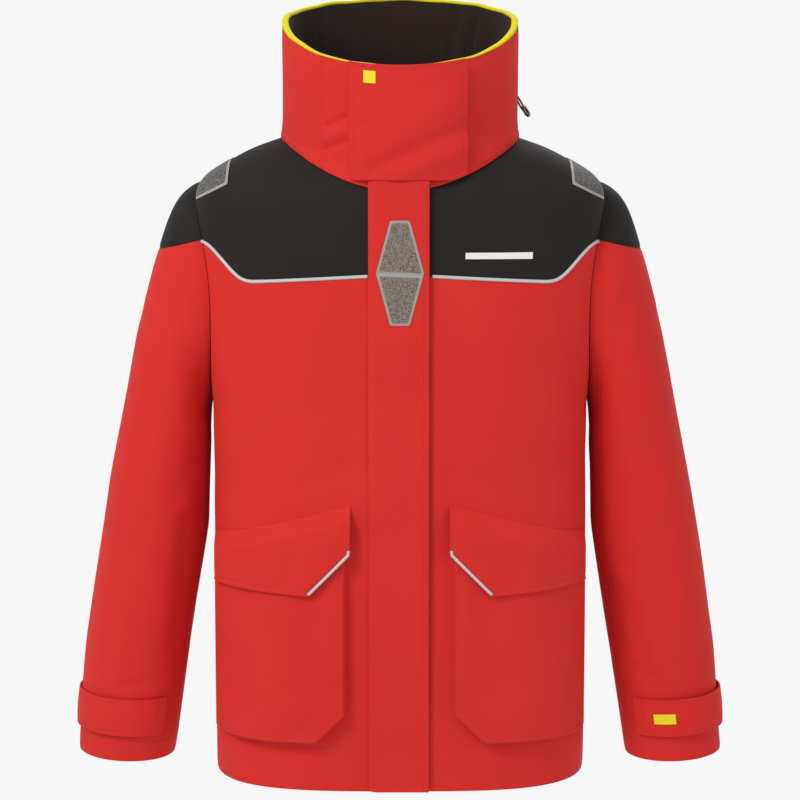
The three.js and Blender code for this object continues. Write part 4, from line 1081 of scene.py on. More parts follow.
def rounded_block(length, width, height, ease=0.3):
    """A block with its edges taken off: points and faces."""
    small = [length * (1 - ease), width * (1 - ease), height * (1 - ease)]
    points = []
    for sx in (-1, 1):
        for sy in (-1, 1):
            for sz in (-1, 1):
                points += [
                    (sx * length, sy * small[1], sz * small[2]), (sx * small[0], sy * width, sz * small[2]),
                    (sx * small[0], sy * small[1], sz * height)
                ]

    def corner(sx, sy, sz, axis):
        return ((sx > 0) * 4 + (sy > 0) * 2 + (sz > 0)) * 3 + axis

    faces = []
    for s in (-1, 1):
        ring = [(-1, -1), (1, -1), (1, 1), (-1, 1)]
        for axis in range(3):
            quad = []
            for a, b in ring if s > 0 else reversed(ring):
                signs = [s, s, s]
                signs[(axis + 1) % 3], signs[(axis + 2) % 3] = a, b
                quad.append(corner(*signs, axis))
            faces.append(tuple(quad))
    for axis in range(3):
        other, third = (axis + 1) % 3, (axis + 2) % 3
        for a in (-1, 1):
            for b in (-1, 1):
                ends = []
                for s in (-1, 1):
                    signs = [0, 0, 0]
                    signs[axis], signs[other], signs[third] = s, a, b
                    ends.append((corner(*signs, other), corner(*signs, third)))
                quad = (ends[0][0], ends[1][0], ends[1][1], ends[0][1])
                faces.append(quad if a * b > 0 else tuple(reversed(quad)))
    for sx in (-1, 1):
        for sy in (-1, 1):
            for sz in (-1, 1):
                tri = tuple(corner(sx, sy, sz, axis) for axis in range(3))
                faces.append(tri if sx * sy * sz > 0 else tuple(reversed(tri)))
    return points, faces


steps = np.radians(np.linspace(9.6, 170.4, 230))
radial = np.stack([np.cos(steps), np.sin(steps), 0 * steps], 1)
tangent = np.stack([-np.sin(steps), np.cos(steps), 0 * steps], 1)
upright = np.tile([0.0, 0.0, 1.0], (230, 1))
for sign, word in ((1, "upper"), (-1, "lower")):
    coil = round_collar(steps, np.full(230, HOOD_ZIP + sign * 1.75), -1.5)
    slanted = upright + sign * 0.25 * tangent
    blocks(
        f"hood_zip_coil_{word}", coil, tangent, slanted, radial, (0.58, 0.95, 0.95), "shell",
        [f"hood_zip_chain_{word}"], nylon
    )


def cast_metal(name, colour, rough):
    """Cast zinc alloy, tumbled and plated: bright grey, slightly clouded, with softened edges."""
    material = new_material(name)
    place = add_node(material, "TexCoord").outputs["Object"]
    cloud = add_node(material, "TexNoise", {"Vector": place, "Scale": 300.0, "Detail": 4.0})
    gloss = add_node(
        material, "MapRange",
        {"Value": cloud.outputs["Fac"], "To Min": rough - 0.08, "To Max": rough + 0.12}
    )
    tone = add_node(
        material, "Mix", {"Factor": cloud.outputs["Fac"], 6: linear(colour), 7: linear("#8F9294")},
        data_type="RGBA"
    )
    bump = add_node(material, "Bump", {"Height": cloud.outputs["Fac"], "Strength": 0.12, "Distance": 0.0001})
    shader = add_node(
        material, "BsdfPrincipled",
        {
            "Base Color": tone.outputs[2], "Metallic": 1.0, "Roughness": gloss.outputs[0],
            "Normal": bump.outputs[0]
        }
    )
    add_node(material, "OutputMaterial", {0: shader.outputs[0]})
    return material


zinc = cast_metal("cast_zinc_plated", "#C9CBCC", 0.34)


def join_parts(name, parts):
    """One mesh from several lists of points and faces."""
    points, faces = [], []
    for spots, sides in parts:
        start = len(points)
        points += [tuple(spot) for spot in spots]
        faces += [tuple(start + i for i in face) for face in sides]
    points = np.array(points)
    return mesh_object(name, points, faces, points[:, [0, 2]])


def turned_to(points, centre, x_axis, y_axis, z_axis):
    """Points in a local frame, moved to its place."""
    return [
        np.array(centre) + np.array(x_axis) * a + np.array(y_axis) * b + np.array(z_axis) * c
        for a, b, c in points
    ]


def slider_parts(length, width, plate, gap, crown):
    """A zip slider: two shaped plates on a post, and the bridge that holds its pull. x is along the zip,
    y across and z out. Each plate narrows towards its closing end."""
    parts = []
    for middle in (gap / 2 + plate / 2, -gap / 2 - plate / 2):
        points, faces = rounded_block(length / 2, width / 2, plate / 2)
        points = [
            (a, b * (0.78 + 0.22 * math.copysign(1, a) * min(1, abs(a) / (length / 2))), c + middle)
            for a, b, c in points
        ]
        parts.append((points, faces))
    points, faces = rounded_block(length * 0.16, width * 0.1, gap / 2 + 0.2)
    parts.append((points, faces))
    arch = []
    for share in np.linspace(0, 1, 9):
        arch.append(
            (length * (share - 0.5) * 0.62, gap / 2 + plate + crown * math.sin(math.pi * share) - 0.2)
        )
    for (a0, c0), (a1, c1) in zip(arch, arch[1:]):
        tall = 0.45
        quad = [(a0, s * width * 0.13, c0 + t) for s in (-1, 1) for t in (-tall, tall)]
        quad += [(a1, s * width * 0.13, c1 + t) for s in (-1, 1) for t in (-tall, tall)]
        parts.append(
            (quad, [(0, 1, 3, 2), (4, 6, 7, 5), (0, 4, 5, 1), (2, 3, 7, 6), (1, 5, 7, 3), (0, 2, 6, 4)])
        )
    return parts


park = math.radians(13)
out_way = np.array([math.cos(park), math.sin(park), 0])
round_way = np.array([-math.sin(park), math.cos(park), 0])
post = out_way * NECK_HALF + [0, NECK_Y, HOOD_ZIP]
hood_parts = [
    (
        turned_to(points, post - out_way * 1.25, -round_way, [0, 0, 1], out_way),
        [tuple(reversed(f)) for f in faces]
    )
    for points, faces in slider_parts(9, 6, 1.2, 3.7, 1.6)
]
piece = join_parts("hood_zip_slider_cast", hood_parts)
finish_piece(piece, zinc, "hood_slider", ["hood_zip_slider"])


def closed_tube(way, radius, around=8):
    """Points and faces of a tube round a closed loop of points."""
    way = np.array(way, float)
    ahead = np.roll(way, -1, 0) - np.roll(way, 1, 0)
    ahead /= np.linalg.norm(ahead, axis=1, keepdims=True)
    side = np.cross(ahead, [0.13, 0.37, 0.92])
    turns_round = np.arange(around) * 2 * math.pi / around
    points, faces = [], []
    for k in range(len(way)):
        x = side[k] / np.linalg.norm(side[k])
        y = np.cross(ahead[k], x)
        points += [way[k] + radius * (x * math.cos(t) + y * math.sin(t)) for t in turns_round]
        here, there = k * around, (k + 1) % len(way) * around
        for i in range(around):
            after = (i + 1) % around
            faces.append((here + i, here + after, there + after, there + i))
    return points, faces


def braided_cord(name, colour):
    """Braided polyester cord, brown: matt, with the crossing strands of the braid showing."""
    material = new_material(name)
    place = add_node(material, "TexCoord").outputs["Object"]
    braid = add_node(
        material, "TexWave", {"Vector": place, "Scale": 260.0, "Distortion": 4.0},
        bands_direction="DIAGONAL"
    )
    tone = add_node(
        material, "Mix", {"Factor": braid.outputs["Color"], 6: linear("#3E2218"), 7: linear(colour)},
        data_type="RGBA"
    )
    bump = add_node(material, "Bump", {"Height": braid.outputs["Color"], "Strength": 0.5, "Distance": 0.0002})
    shader = add_node(
        material, "BsdfPrincipled",
        {"Base Color": tone.outputs[2], "Roughness": 0.75, "Normal": bump.outputs[0], "Sheen Weight": 0.15}
    )
    add_node(material, "OutputMaterial", {0: shader.outputs[0]})
    return material


cord_brown = braided_cord("braided_polyester_cord_brown", "#7A4630")
pull_out = 4.6
loop_way = []
for share in np.linspace(0, 1, 28, endpoint=False):
    turn = 2 * math.pi * share
    along, down = 2.9 * math.sin(turn) * (1 - 0.25 * math.cos(turn)), -7.6 + 9.6 * math.cos(turn)
    lean_out = 0.55 * (2 - down) + 0.8 * along
    loop_way.append(
        post + out_way * (pull_out - 1.2 + lean_out) + round_way * along * 0.6 + np.array([0, 0, down])
    )
piece = join_parts("hood_pull_cord", [closed_tube(loop_way, 1.15)])
finish_piece(piece, cord_brown, "hood_pull", ["hood_zip_puller"])
points, faces = rounded_block(3.4, 3.0, 7.4, 0.45)
hanging = np.array([0, 0, 0.85]) - out_way * 0.53
ferrule = turned_to(
    points, post + out_way * (pull_out + 11.6) + np.array([0, 0, -17.5]), round_way,
    np.cross(hanging, round_way), hanging
)
piece = join_parts("hood_pull_ferrule", [(ferrule, [tuple(reversed(f)) for f in faces])])
finish_piece(piece, zinc, "hood_pull", [])


# ---------------------------------------------------------------- hanging loop
# Black nylon webbing sewn inside the back of the neck, standing off to take a hook.
def woven_webbing(name, colour, shade, pitch=1.4):
    """Woven nylon webbing: herringbone ridges about 1.4 mm apart, with a dull shine."""
    material = new_material(name)
    weave = add_node(material, "UVMap", uv_map="cloth").outputs[0]
    ribs = add_node(
        material, "TexWave", {"Vector": weave, "Scale": 314.2 / pitch, "Distortion": 1.2},
        bands_direction="X"
    )
    tone = add_node(
        material, "Mix", {"Factor": ribs.outputs["Color"], 6: linear(shade), 7: linear(colour)},
        data_type="RGBA"
    )
    bump = add_node(material, "Bump", {"Height": ribs.outputs["Color"], "Strength": 0.4, "Distance": 0.0002})
    shader = add_node(
        material, "BsdfPrincipled",
        {"Base Color": tone.outputs[2], "Roughness": 0.6, "Normal": bump.outputs[0], "Sheen Weight": 0.1}
    )
    add_node(material, "OutputMaterial", {0: shader.outputs[0]})
    return material


webbing = woven_webbing("woven_nylon_webbing_black", "#2B2B2C", "#171718")
loop_angle = math.asin(32 / NECK_HALF)


def loop_at(u, v):
    turn = math.pi / 2 - u * loop_angle
    rise = 2 + 8 * v
    away = lining_out(turn, rise / 144) - 1.5 - 0.9 - 14 * np.cos(u * math.pi / 2)
    return round_collar(turn, NECK_TOPS[2] + rise, away - 1.6)


piece = cloth("hang_loop_webbing", Skin(loop_at, (1e-3, 1e-3)), lines(-1, 1, 0.05), lines(0, 1, 0.2), 1.5)
finish_piece(piece, webbing, "shell", ["hang_loop"])


# ---------------------------------------------------------------- centre front zip
# A heavy moulded-tooth zip up the middle: woven tapes sewn to both fronts, acetal teeth, a box at the hem
# and a cast slider parked at the top with a moulded puller.
def up_the_front(x, z, out):
    return np.stack([x, front_y(z) - out, z + 0 * x], -1)


tape_weave = woven_webbing("woven_polyester_tape_black", "#262627", "#151516", 1.1)
TOOTH_PITCH = 3.2
TEETH_OUT = -3.3
UP_ZIP = ([0, LEAN, 1], [-1, 0, 0], [0, -1, 0])  # along the zip, across it and out


def zip_edge(u, v):
    return up_the_front(u, v, -3.84)


zip_skin = Skin(zip_edge, (1e-2, 1e-2))
for side, word in SIDES:
    piece = cloth(
        f"zip_tape_{word}_woven", zip_skin, lines(3.3, 16, 3), lines(14, 818, 25), 1.0, mirrored=side < 0
    )
    finish_piece(piece, tape_weave, "shell", [f"zip_tape_{word}"])
    heights = np.arange(15.5 if side > 0 else 17.1, 801, TOOTH_PITCH)
    spots = up_the_front(np.full(len(heights), side * 1.5), heights, np.full(len(heights), TEETH_OUT))
    rise = np.tile([0, LEAN, 1.0], (len(heights), 1))
    across = np.tile([-1.0, 0, 0], (len(heights), 1))
    proud = np.tile([0, -1.0, 0], (len(heights), 1))
    blocks(
        f"zip_teeth_{word}", spots, rise, across, proud, (1.15, 1.45, 1.45), "shell", [f"zip_chain_{word}"],
        nylon
    )

points, faces = rounded_block(4.5, 5.5, 1.45, 0.25)
box_at = up_the_front(np.array([0.0]), np.array([9.2]), TEETH_OUT)[0]
piece = join_parts("zip_box_moulded", [(turned_to(points, box_at, *UP_ZIP), faces)])
finish_piece(piece, nylon, "shell", ["zip_box"])
slider_at = up_the_front(np.array([0.0]), np.array([809.5]), TEETH_OUT)[0]
main_parts = [
    (turned_to(points, slider_at, *UP_ZIP), faces) for points, faces in slider_parts(13, 11, 1.5, 3.6, 1.6)
]
piece = join_parts("main_zip_slider_cast", main_parts)
finish_piece(piece, zinc, "main_slider", ["main_zip_slider"])
pull_heights = np.linspace(774.5, 812.5, 34)
pull_path = up_the_front(0 * pull_heights, pull_heights, 2.65)
waist = 0.72 + 0.28 * np.cos((pull_heights - 774) / 39 * 2 * math.pi) ** 2
waist *= np.clip((pull_heights - 772) / 5, 0, 1) ** 0.5 * np.clip((814.5 - pull_heights) / 4, 0, 1) ** 0.5
sideways = np.stack([-waist, 0 * waist, 0 * waist], -1)
forward = np.tile([0, -1.0, 0], (34, 1)) * (0.85 + 0.15 * waist[:, None])
piece = ribbon("main_zip_pull_moulded", pull_path, sideways, forward, oval(7, 1.7, 12))
finish_piece(piece, nylon, "main_slider", ["main_zip_puller"])


# ---------------------------------------------------------------- inner storm flap
# A second red flap behind the zip keeps the water out; it is sewn in on the wearer's right.
def inner_flap_at(u, v):
    return up_the_front(u, v, np.interp(u, [-34, -31, -25, 31], [-3.5, -3.5, -7.1, -7.1]))


piece = cloth(
    "inner_storm_flap_cloth", Skin(inner_flap_at, (1e-2, 1e-2)), lines(-34, 31, 4), lines(14, 640, 12), 2.0
)
finish_piece(piece, red_cloth, "shell", ["inner_storm_flap"])


# ---------------------------------------------------------------- storm flap
# The outer flap over the zip: two layers of the red cloth, sewn down on the wearer's right and held shut on
# the left with hook-and-loop. The reflective print on its chest creases where the flap bends.
FLAP_LOW, FLAP_HIGH = 1, 703.4
STORM_LEFT, STORM_RIGHT = 33, -36
STORM_WIDTH, STORM_HEIGHT = 69, 702
CREASE_Z, CREASE_SLOPE = 598.5, 0.05


def storm_at(u, v):
    x, z = mix(STORM_RIGHT, STORM_LEFT, u), mix(FLAP_LOW, FLAP_HIGH, v)
    return up_the_front(x, z, 2 + mix(0.3, 4.4, np.clip((x - STORM_RIGHT) / 8, 0, 1)))


STORM_FOLDS = [
    (-20, 470, 20, 445, 16, -0.9), (-22, 220, 18, 250, 22, -0.8), (24, 300, 10, 120, 12, 0.7),
    (-8, 600, 8, 480, 14, 0.6), (-20, 660, 22, 672, 9, -0.7), (-10, 90, 12, 20, 14, 0.7),
]


def storm_relief(p, u, v, edge):
    x, z = p[:, 0], p[:, 2]
    shape = 0.5 * softness(p * [2, 1, 1], 13)
    shape += folds(p, STORM_FOLDS)
    shape *= np.clip((x - STORM_RIGHT) / 14, 0, 1)
    creased = seam(abs(z - CREASE_Z + CREASE_SLOPE * x), 1.0, 2.0) + 0.4 * np.exp(-(((z - 593) / 3) ** 2))
    shape += creased * np.clip((34 - abs(x)) / 6, 0, 1)
    shape += seam(abs(x + 30), 0.5, 1.5) + seam(abs(x - 28), 0.5, 1.5) + seam(abs(z - 6), 0.4, 1.5)
    return shape - 0.7 * np.exp(-(((STORM_LEFT - x) / 1.8) ** 2)) + 0.4 * np.exp(-(((x - 31) / 1.5) ** 2))


storm_skin = Skin(storm_at, (1e-3, 1e-3), [], storm_relief)
storm_columns = lines(0, 1, 3 / STORM_WIDTH, (6 / STORM_WIDTH, 64 / STORM_WIDTH), 1 / STORM_WIDTH)
crease_rows = np.arange(590, 608, 1.2) / STORM_HEIGHT
plain_rows = lines(0, 1, PITCH / STORM_HEIGHT, (5 / STORM_HEIGHT,), 1 / STORM_HEIGHT)
storm_rows = np.unique(np.concatenate([plain_rows, crease_rows]))
piece = cloth("storm_flap_cloth", storm_skin, storm_columns, storm_rows, 2.0)
finish_piece(piece, red_cloth, None, ["storm_flap"])
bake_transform(piece)
up_share = np.linspace(0.004, 0.997, 700)
storm_lines = [line_on(storm_skin, np.full(700, place / STORM_WIDTH), up_share) for place in (6.4, 61, 64)]
storm_lines.append(line_on(storm_skin, np.linspace(0.1, 0.92, 40), np.full(40, 5 / STORM_HEIGHT)))
stitches("storm_flap_stitching", storm_lines, red_thread, "storm_flap_leaf", size=0.38)


def strip(name, at, us, vs, body_name, node, thickness, mirrored=False):
    """A strip of hook-and-loop tape on a surface."""
    piece = cloth(name, Skin(at, (1e-3, 1e-3)), us, vs, thickness, mirrored=mirrored)
    return finish_piece(piece, hook_loop, body_name, [node])


hook_loop = brushed_fleece("woven_hook_and_loop_black", "#232324", "#111112")
for word, out, body_name in (("loop", 2.05, "shell"), ("hook", 4.1, "storm_flap_leaf")):

    def tape_at(u, v):
        return up_the_front(u, v, out)

    strip(
        f"storm_flap_{word}_tape_woven", tape_at, lines(17, 29, 3), lines(21, 672, 15), body_name,
        f"storm_flap_{word}_tape", 1.7
    )

flap_print = beaded_print("beaded_reflective_print_flap", "#574D45", "#D6CCBF", 3.0)


def in_hexagon(inset):
    """Millimetres inside the six-sided print, set in from its edge."""

    def inside(p):
        rise = abs(p[:, 2] - 600)
        slope = 16 / 59
        outer = np.minimum((27 - slope * rise - abs(p[:, 0])) / math.hypot(1, slope), 59 - rise)
        crease = abs(p[:, 2] - CREASE_Z + CREASE_SLOPE * p[:, 0])
        return np.minimum(outer, crease if inset else FAR) - inset

    return inside


for part, inset, lift, material in (("border", 0, 0.55, print_border), ("print", 2.8, 0.75, flap_print)):

    def print_relief(p, u, v, edge):
        return storm_relief(p, u, v, edge) + lift

    skin = Skin(storm_at, (1e-3, 1e-3), [in_hexagon(inset)], print_relief)
    columns = lines(8 / STORM_WIDTH, 64.5 / STORM_WIDTH, 1.9 / STORM_WIDTH)
    print_rows = lines(539 / STORM_HEIGHT, 660 / STORM_HEIGHT, 2.2 / STORM_HEIGHT)
    rows = np.unique(np.concatenate([print_rows, crease_rows]))
    piece = cloth(f"storm_flap_reflector_{part}", skin, columns, rows, 0.5, round_edge=0.1)
    nodes = [] if inset else ["storm_flap_reflector"]
    finish_piece(piece, material, "storm_flap_leaf", nodes)


# ---------------------------------------------------------------- throat tab
# A double-layer tab over the collar's front, sewn down on the wearer's right and held with hook-and-loop.
TAB_LEFT, TAB_RIGHT, TAB_BOTTOM = 73, -57, 704
TAB_WIDTH, TAB_HEIGHT = 130, 122


def on_tab(x, share, out, low=0.0, high=0.0):
    """A point over the collar's front, at x and a share of the tab's height, drawn in by low and high."""
    turn = 2 * math.pi - np.arccos(x / NECK_HALF)
    bottom = np.maximum(TAB_BOTTOM, collar_base(turn) + 2) + low
    return round_collar(turn, mix(bottom, collar_top(turn) + 2 - high, share), out)


def tab_at(u, v):
    x = mix(TAB_RIGHT, TAB_LEFT, u)
    return on_tab(x, v, 2 + mix(0.4, 4.4, np.clip((x - TAB_RIGHT) / 10, 0, 1)))


def rounded_corner(a, b, radius):
    """Trims a corner where both edge distances are below the radius."""
    near = np.maximum(radius - a, 0), np.maximum(radius - b, 0)
    return np.where((near[0] > 0) & (near[1] > 0), radius - np.hypot(*near), FAR)


def tab_corners(p):
    turn = 2 * math.pi - np.arccos(np.clip(p[:, 0] / NECK_HALF, -1, 1))
    side, low, high = TAB_LEFT - p[:, 0], p[:, 2] - TAB_BOTTOM, collar_top(turn) + 2 - p[:, 2]
    return np.minimum(rounded_corner(side, low, 5), rounded_corner(side, high, 3))


TAB_FOLDS = [
    (-31, 717, 72, 762, 8, -2.6), (-4, 706, 78, 741, 9, 1.8), (-40, 735, 50, 788, 16, 1.4),
    (-50, 770, -30, 762, 6, -1.0), (-20, 800, 50, 808, 10, -0.9), (44, 730, 66, 712, 6, -0.9),
]


def tab_relief(p, u, v, edge):
    x, up = mix(TAB_RIGHT, TAB_LEFT, u), v * TAB_HEIGHT
    belly = 1.3 * np.sin(math.pi * np.clip(u, 0, 1)) * np.sin(math.pi * np.clip(v, 0, 1))
    shape = 0.8 * softness(p * [1.8, 1, 1.6], 17) + belly
    shape += folds(p, TAB_FOLDS)
    shape = (shape + 2.2) * np.clip((x - TAB_RIGHT) / 16, 0, 1)
    for distance in (abs(x - 68), abs(x + 50), abs(up - 5), abs(up - 117)):
        shape = shape + seam(distance, 0.45, 1.4)
    return shape - 0.5 * np.exp(-(((TAB_LEFT - x) / 1.6) ** 2)) - 0.5 * np.exp(-((up / 1.6) ** 2))


tab_skin = Skin(tab_at, (1e-3, 1e-3), [tab_corners], tab_relief)
columns = lines(0, 1, 0.02, (7 / TAB_WIDTH, 125 / TAB_WIDTH), 1 / TAB_WIDTH)
rows = lines(0, 1, 0.024, (5 / TAB_HEIGHT, 117 / TAB_HEIGHT), 1 / TAB_HEIGHT)
piece = cloth("throat_tab_cloth", tab_skin, columns, rows, 2.0)
finish_piece(piece, red_cloth, None, ["throat_tab"])
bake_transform(piece)
tab_lines = [line_on(tab_skin, np.full(160, 7.6 / TAB_WIDTH), np.linspace(0.03, 0.98, 160))]
tab_lines += [line_on(tab_skin, np.full(160, 125 / TAB_WIDTH), np.linspace(0.045, 0.96, 160))]
tab_lines += [
    line_on(tab_skin, np.linspace(0.062, 0.955, 160), np.full(160, place / TAB_HEIGHT))
    for place in (5, 117)
]
stitches("throat_tab_stitching", tab_lines, red_thread, "throat_tab_leaf", size=0.36)
for word, out, body_name in (("loop", 2.05, "shell"), ("hook", 4.1, "throat_tab_leaf")):

    def tab_tape_at(u, v):
        return on_tab(u, v, out, 16, 13)

    strip(
        f"throat_tab_{word}_tape_woven", tab_tape_at, lines(33, 65, 3), lines(0, 1, 0.05), body_name,
        f"throat_tab_{word}_tape", 1.7
    )


# ---------------------------------------------------------------- cargo pockets
# Bellows pockets of the red cloth: a face and narrow gussets folded from one piece, sewn on along the sides
# and bottom, with the lower inner corner cut off and a hemmed mouth under the flap.
SIDE_U = np.linspace(0.75, 1.0, 1500)
SIDE_X = body(SIDE_U, np.full(1500, 200.0))[:, 0]
POCKET_LOW = 57
POCKET_NEAR, POCKET_FAR = 62, 216  # its edges, from the centre line outwards
CHAMFER_X = 96
POCKET_HEIGHT = 240
MOUTH_DROP = 24  # from the flap's seam down to the pocket's mouth


def flap_seam(x):
    return mix(335, 292, (x - 57) / 160)


def smooth_step(value, low, high):
    share = np.clip((value - low) / (high - low), 0, 1)
    return share * share * (3 - 2 * share)


def pocket_out(x, z):
    down = (flap_seam(x) - MOUTH_DROP - z) / (flap_seam(x) - MOUTH_DROP - POCKET_LOW)
    return mix(mix(9, 15, smooth_step(down, 0, 1)), 5, smooth_step(x, 167, 217))


def over_front(x, z, out):
    """A point off the front panel, at a distance from the centre and a height."""
    u = np.interp(x, SIDE_X, SIDE_U)
    return body(u, z) + normals_of(body, u, z, 1e-4, 0.5) * np.reshape(out, (-1, 1))


def pocket_low(x):
    return POCKET_LOW + np.maximum(0, CHAMFER_X - x)


def pocket_edge(x, z):
    chamfer = np.where(x < CHAMFER_X, math.cos(math.pi / 4), 1)
    return np.minimum.reduce([x - POCKET_NEAR, (z - pocket_low(x)) * chamfer, POCKET_FAR - x])


def pocket_face(u, v):
    z = mix(pocket_low(u), flap_seam(u) - MOUTH_DROP, v)
    rise = 1 - np.exp(-((np.maximum(pocket_edge(u, z), 0) / 1.4) ** 1.5))
    return over_front(u, z, mix(-1.2, pocket_out(u, z), rise))


POCKET_FOLDS = [
    (95, 290, 110, 120, 18, -1.6), (150, 260, 140, 90, 22, 1.3), (70, 130, 120, 62, 9, -1.2),
    (185, 250, 178, 80, 13, -1.4), (100, 70, 190, 66, 7, -0.8), (75, 240, 74, 110, 7, 0.8),
]


def pocket_relief(p, u, v, edge):
    z = mix(pocket_low(u), flap_seam(u) - MOUTH_DROP, v)
    inside = pocket_edge(u, z)
    shape = 0.8 * softness(p * 1.2, 21)
    shape += folds(p, POCKET_FOLDS)
    line = seam(abs(inside - 6.5), 0.45, 1.4) + 0.6 * np.exp(-(((inside - 2.5) / 1.4) ** 2))
    return shape * np.clip(inside / 14, 0, 1) + line


EDGE_STEPS = np.array([0, 0.5, 1.0, 1.5, 2.1, 2.8, 3.6, 4.8, 5.8, 6.5, 7.2, 8.4])
pocket_skin = Skin(pocket_face, (1e-2, 1e-4), [], pocket_relief)
near_edge, far_edge = POCKET_NEAR + EDGE_STEPS, POCKET_FAR - EDGE_STEPS[::-1]
pocket_columns = np.concatenate([near_edge, lines(73, 205, 4.2), far_edge])
pocket_rows = np.concatenate(
    [EDGE_STEPS / POCKET_HEIGHT, lines(12 / POCKET_HEIGHT, 1, PITCH / POCKET_HEIGHT)]
)

# The flaps hang from a slanting seam over the pocket's mouth. The lower inner corner is cut off, and edged
# with reflective piping.
CHAMFER_SLOPE = (279 - 231) / (103 - 57)
FLAP_HEIGHT = 75
FLAP_STITCH = 202.5


def flap_low(x):
    bottom = 238 - 7 * np.clip((217 - x) / 114, 0, 1)
    return np.maximum(bottom, 279 - (x - 57) * CHAMFER_SLOPE)


def flap_out(x, z):
    room = 1.2 * smooth_step(x, 177, 207)
    over = pocket_out(x, np.minimum(z, flap_seam(x) - MOUTH_DROP)) + 2.9 + room
    return mix(0.3 + room, over, smooth_step((flap_seam(x) - z) / 20, 0, 1)) + 2


def flap_at(u, v):
    z = mix(flap_low(u), flap_seam(u), v)
    return over_front(u, z, flap_out(u, z))


FLAP_FOLDS = [
    (110, 318, 132, 246, 14, -1.2), (165, 300, 150, 250, 12, 1.2), (195, 290, 190, 245, 10, -1.0),
    (75, 322, 80, 285, 9, 1.0), (70, 296, 200, 276, 10, 0.6),
]


def flap_relief(p, u, v, edge):
    z = mix(flap_low(u), flap_seam(u), v)
    shape = 0.7 * softness(p * [1.5, 1, 1.5], 27)
    shape += folds(p, FLAP_FOLDS)
    drop = flap_seam(u) - z
    shape *= np.clip(drop / 14, 0, 1)
    shape += seam(drop, 0.9, 2.2)
    for distance in (abs(u - POCKET_NEAR), abs(u - FLAP_STITCH), abs(z - flap_low(u) - 5.5)):
        shape += seam(distance, 0.45, 1.4)
    return shape + 0.35 * np.exp(-(((z - flap_low(u) - 1.5) / 1.5) ** 2))


flap_skin = Skin(flap_at, (1e-2, 1e-4), [lambda p: 217.4 - p[:, 0]], flap_relief)
flap_rows = lines(0, 1, 0.035, (5.5 / FLAP_HEIGHT, 1.0), 1 / FLAP_HEIGHT)
for side, word in SIDES:
    other = side < 0
    piece = cloth(f"pocket_{word}_cloth", pocket_skin, pocket_columns, pocket_rows, 1.8, mirrored=other)
    finish_piece(piece, red_cloth, "shell", [f"pocket_{word}"])
    up_pocket, along_pocket = np.linspace(0.03, 0.985, 150), np.linspace(69, 209, 150)
    pocket_lines = [line_on(pocket_skin, np.full(150, place), up_pocket) for place in (68.5, 209.5)]
    pocket_lines.append(
        line_on(
            pocket_skin, along_pocket, 6.5 / np.where(along_pocket < CHAMFER_X, 0.707, 1) / POCKET_HEIGHT
        )
    )
    stitches(
        f"pocket_{word}_stitching", pocket_lines, red_thread, "shell", mirrored=other,
        size=0.38
    )

    piece = cloth(
        f"pocket_flap_{word}_cloth", flap_skin, lines(57, POCKET_FAR, 3.2, (POCKET_NEAR, FLAP_STITCH), 1.0),
        flap_rows, 2.0, mirrored=other
    )
    finish_piece(piece, red_cloth, None, [f"pocket_flap_{word}"])
    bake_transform(piece)
    flap_lines = [
        line_on(flap_skin, np.full(60, place), np.linspace(0.1, 0.72, 60))
        for place in (POCKET_NEAR, FLAP_STITCH)
    ]
    flap_lines.append(line_on(flap_skin, np.linspace(63, 202, 150), np.full(150, 5.5 / FLAP_HEIGHT)))
    stitches(
        f"pocket_flap_{word}_stitching", flap_lines, red_thread, f"pocket_flap_leaf_{word}",
        mirrored=other, size=0.38
    )

    share = np.linspace(0, 1, 40)
    edge_x = np.concatenate([[58.2, 58.3], mix(58.8, 103, share)])
    edge_z = np.concatenate([[284.5, 282.6], flap_low(mix(58.8, 103, share)) + 2.2])
    spot_v = (edge_z - flap_low(edge_x)) / (flap_seam(edge_x) - flap_low(edge_x))
    edge_way, edge_out = flap_skin(edge_x, spot_v, 0.3)
    piece = welt(f"pocket_flap_piping_{word}_welt", edge_way, edge_out, 3.4, 1.4, other)
    finish_piece(
        piece, silver_tape, f"pocket_flap_leaf_{word}", [f"pocket_flap_piping_{word}"]
    )

    for kind, body_name, out in (("loop", "shell", 1.3), ("hook", f"pocket_flap_leaf_{word}", 2.6)):

        def pocket_tape_at(u, v):
            z = flap_seam(u) - mix(46, 28, v)
            return over_front(u, z, pocket_out(u, z) + out)

        name, node = f"pocket_{kind}_tape_{word}_woven", f"pocket_{kind}_tape_{word}"
        strip(name, pocket_tape_at, lines(110, 195, 4), lines(0, 1, 0.2), body_name, node, 1.0, other)


# ---------------------------------------------------------------- sleeves and shoulder caps
# Each sleeve is a two-part tube set in round the armhole: a black cap over the shoulder, and the long red
# sleeve sewn to it on a sloping seam. The cloth is stiff enough to stand in a tube, with long soft folds.
ARM_TURNS = 144
SLEEVE_DROP = 687
CUFF_STITCH = 24.0
CAP_SLOPE = 0.25
OUTER_LINE = np.array(
    [[0.06, 0.007], [0.18, 0.042], [0.3, 0.119], [0.48, 0.268], [0.72, 0.527], [0.93, 0.812], [1, 1]]
)
INNER_LINE = np.array(
    [[0.06, 0.01], [0.09, 0.05], [0.1, 0.11], [0.12, 0.2], [0.16, 0.36], [0.62, 0.7], [1, 1]]
)


def body_side(y, z):
    """How far out the body's side is at a depth and a height."""
    low, high = np.full_like(y, 300.0), np.full_like(y, NECK_WAY)
    for _ in range(26):
        middle = (low + high) / 2
        near, far = np.full_like(y, -0.22), np.full_like(y, 0.22)
        for _ in range(26):
            turn = (near + far) / 2
            over = body(turn, middle)[:, 1] > y
            near, far = np.where(over, near, turn), np.where(over, turn, far)
        over = body(near, middle)[:, 2] > z
        low, high = np.where(over, low, middle), np.where(over, middle, high)
    return body(near, low)[:, 0]


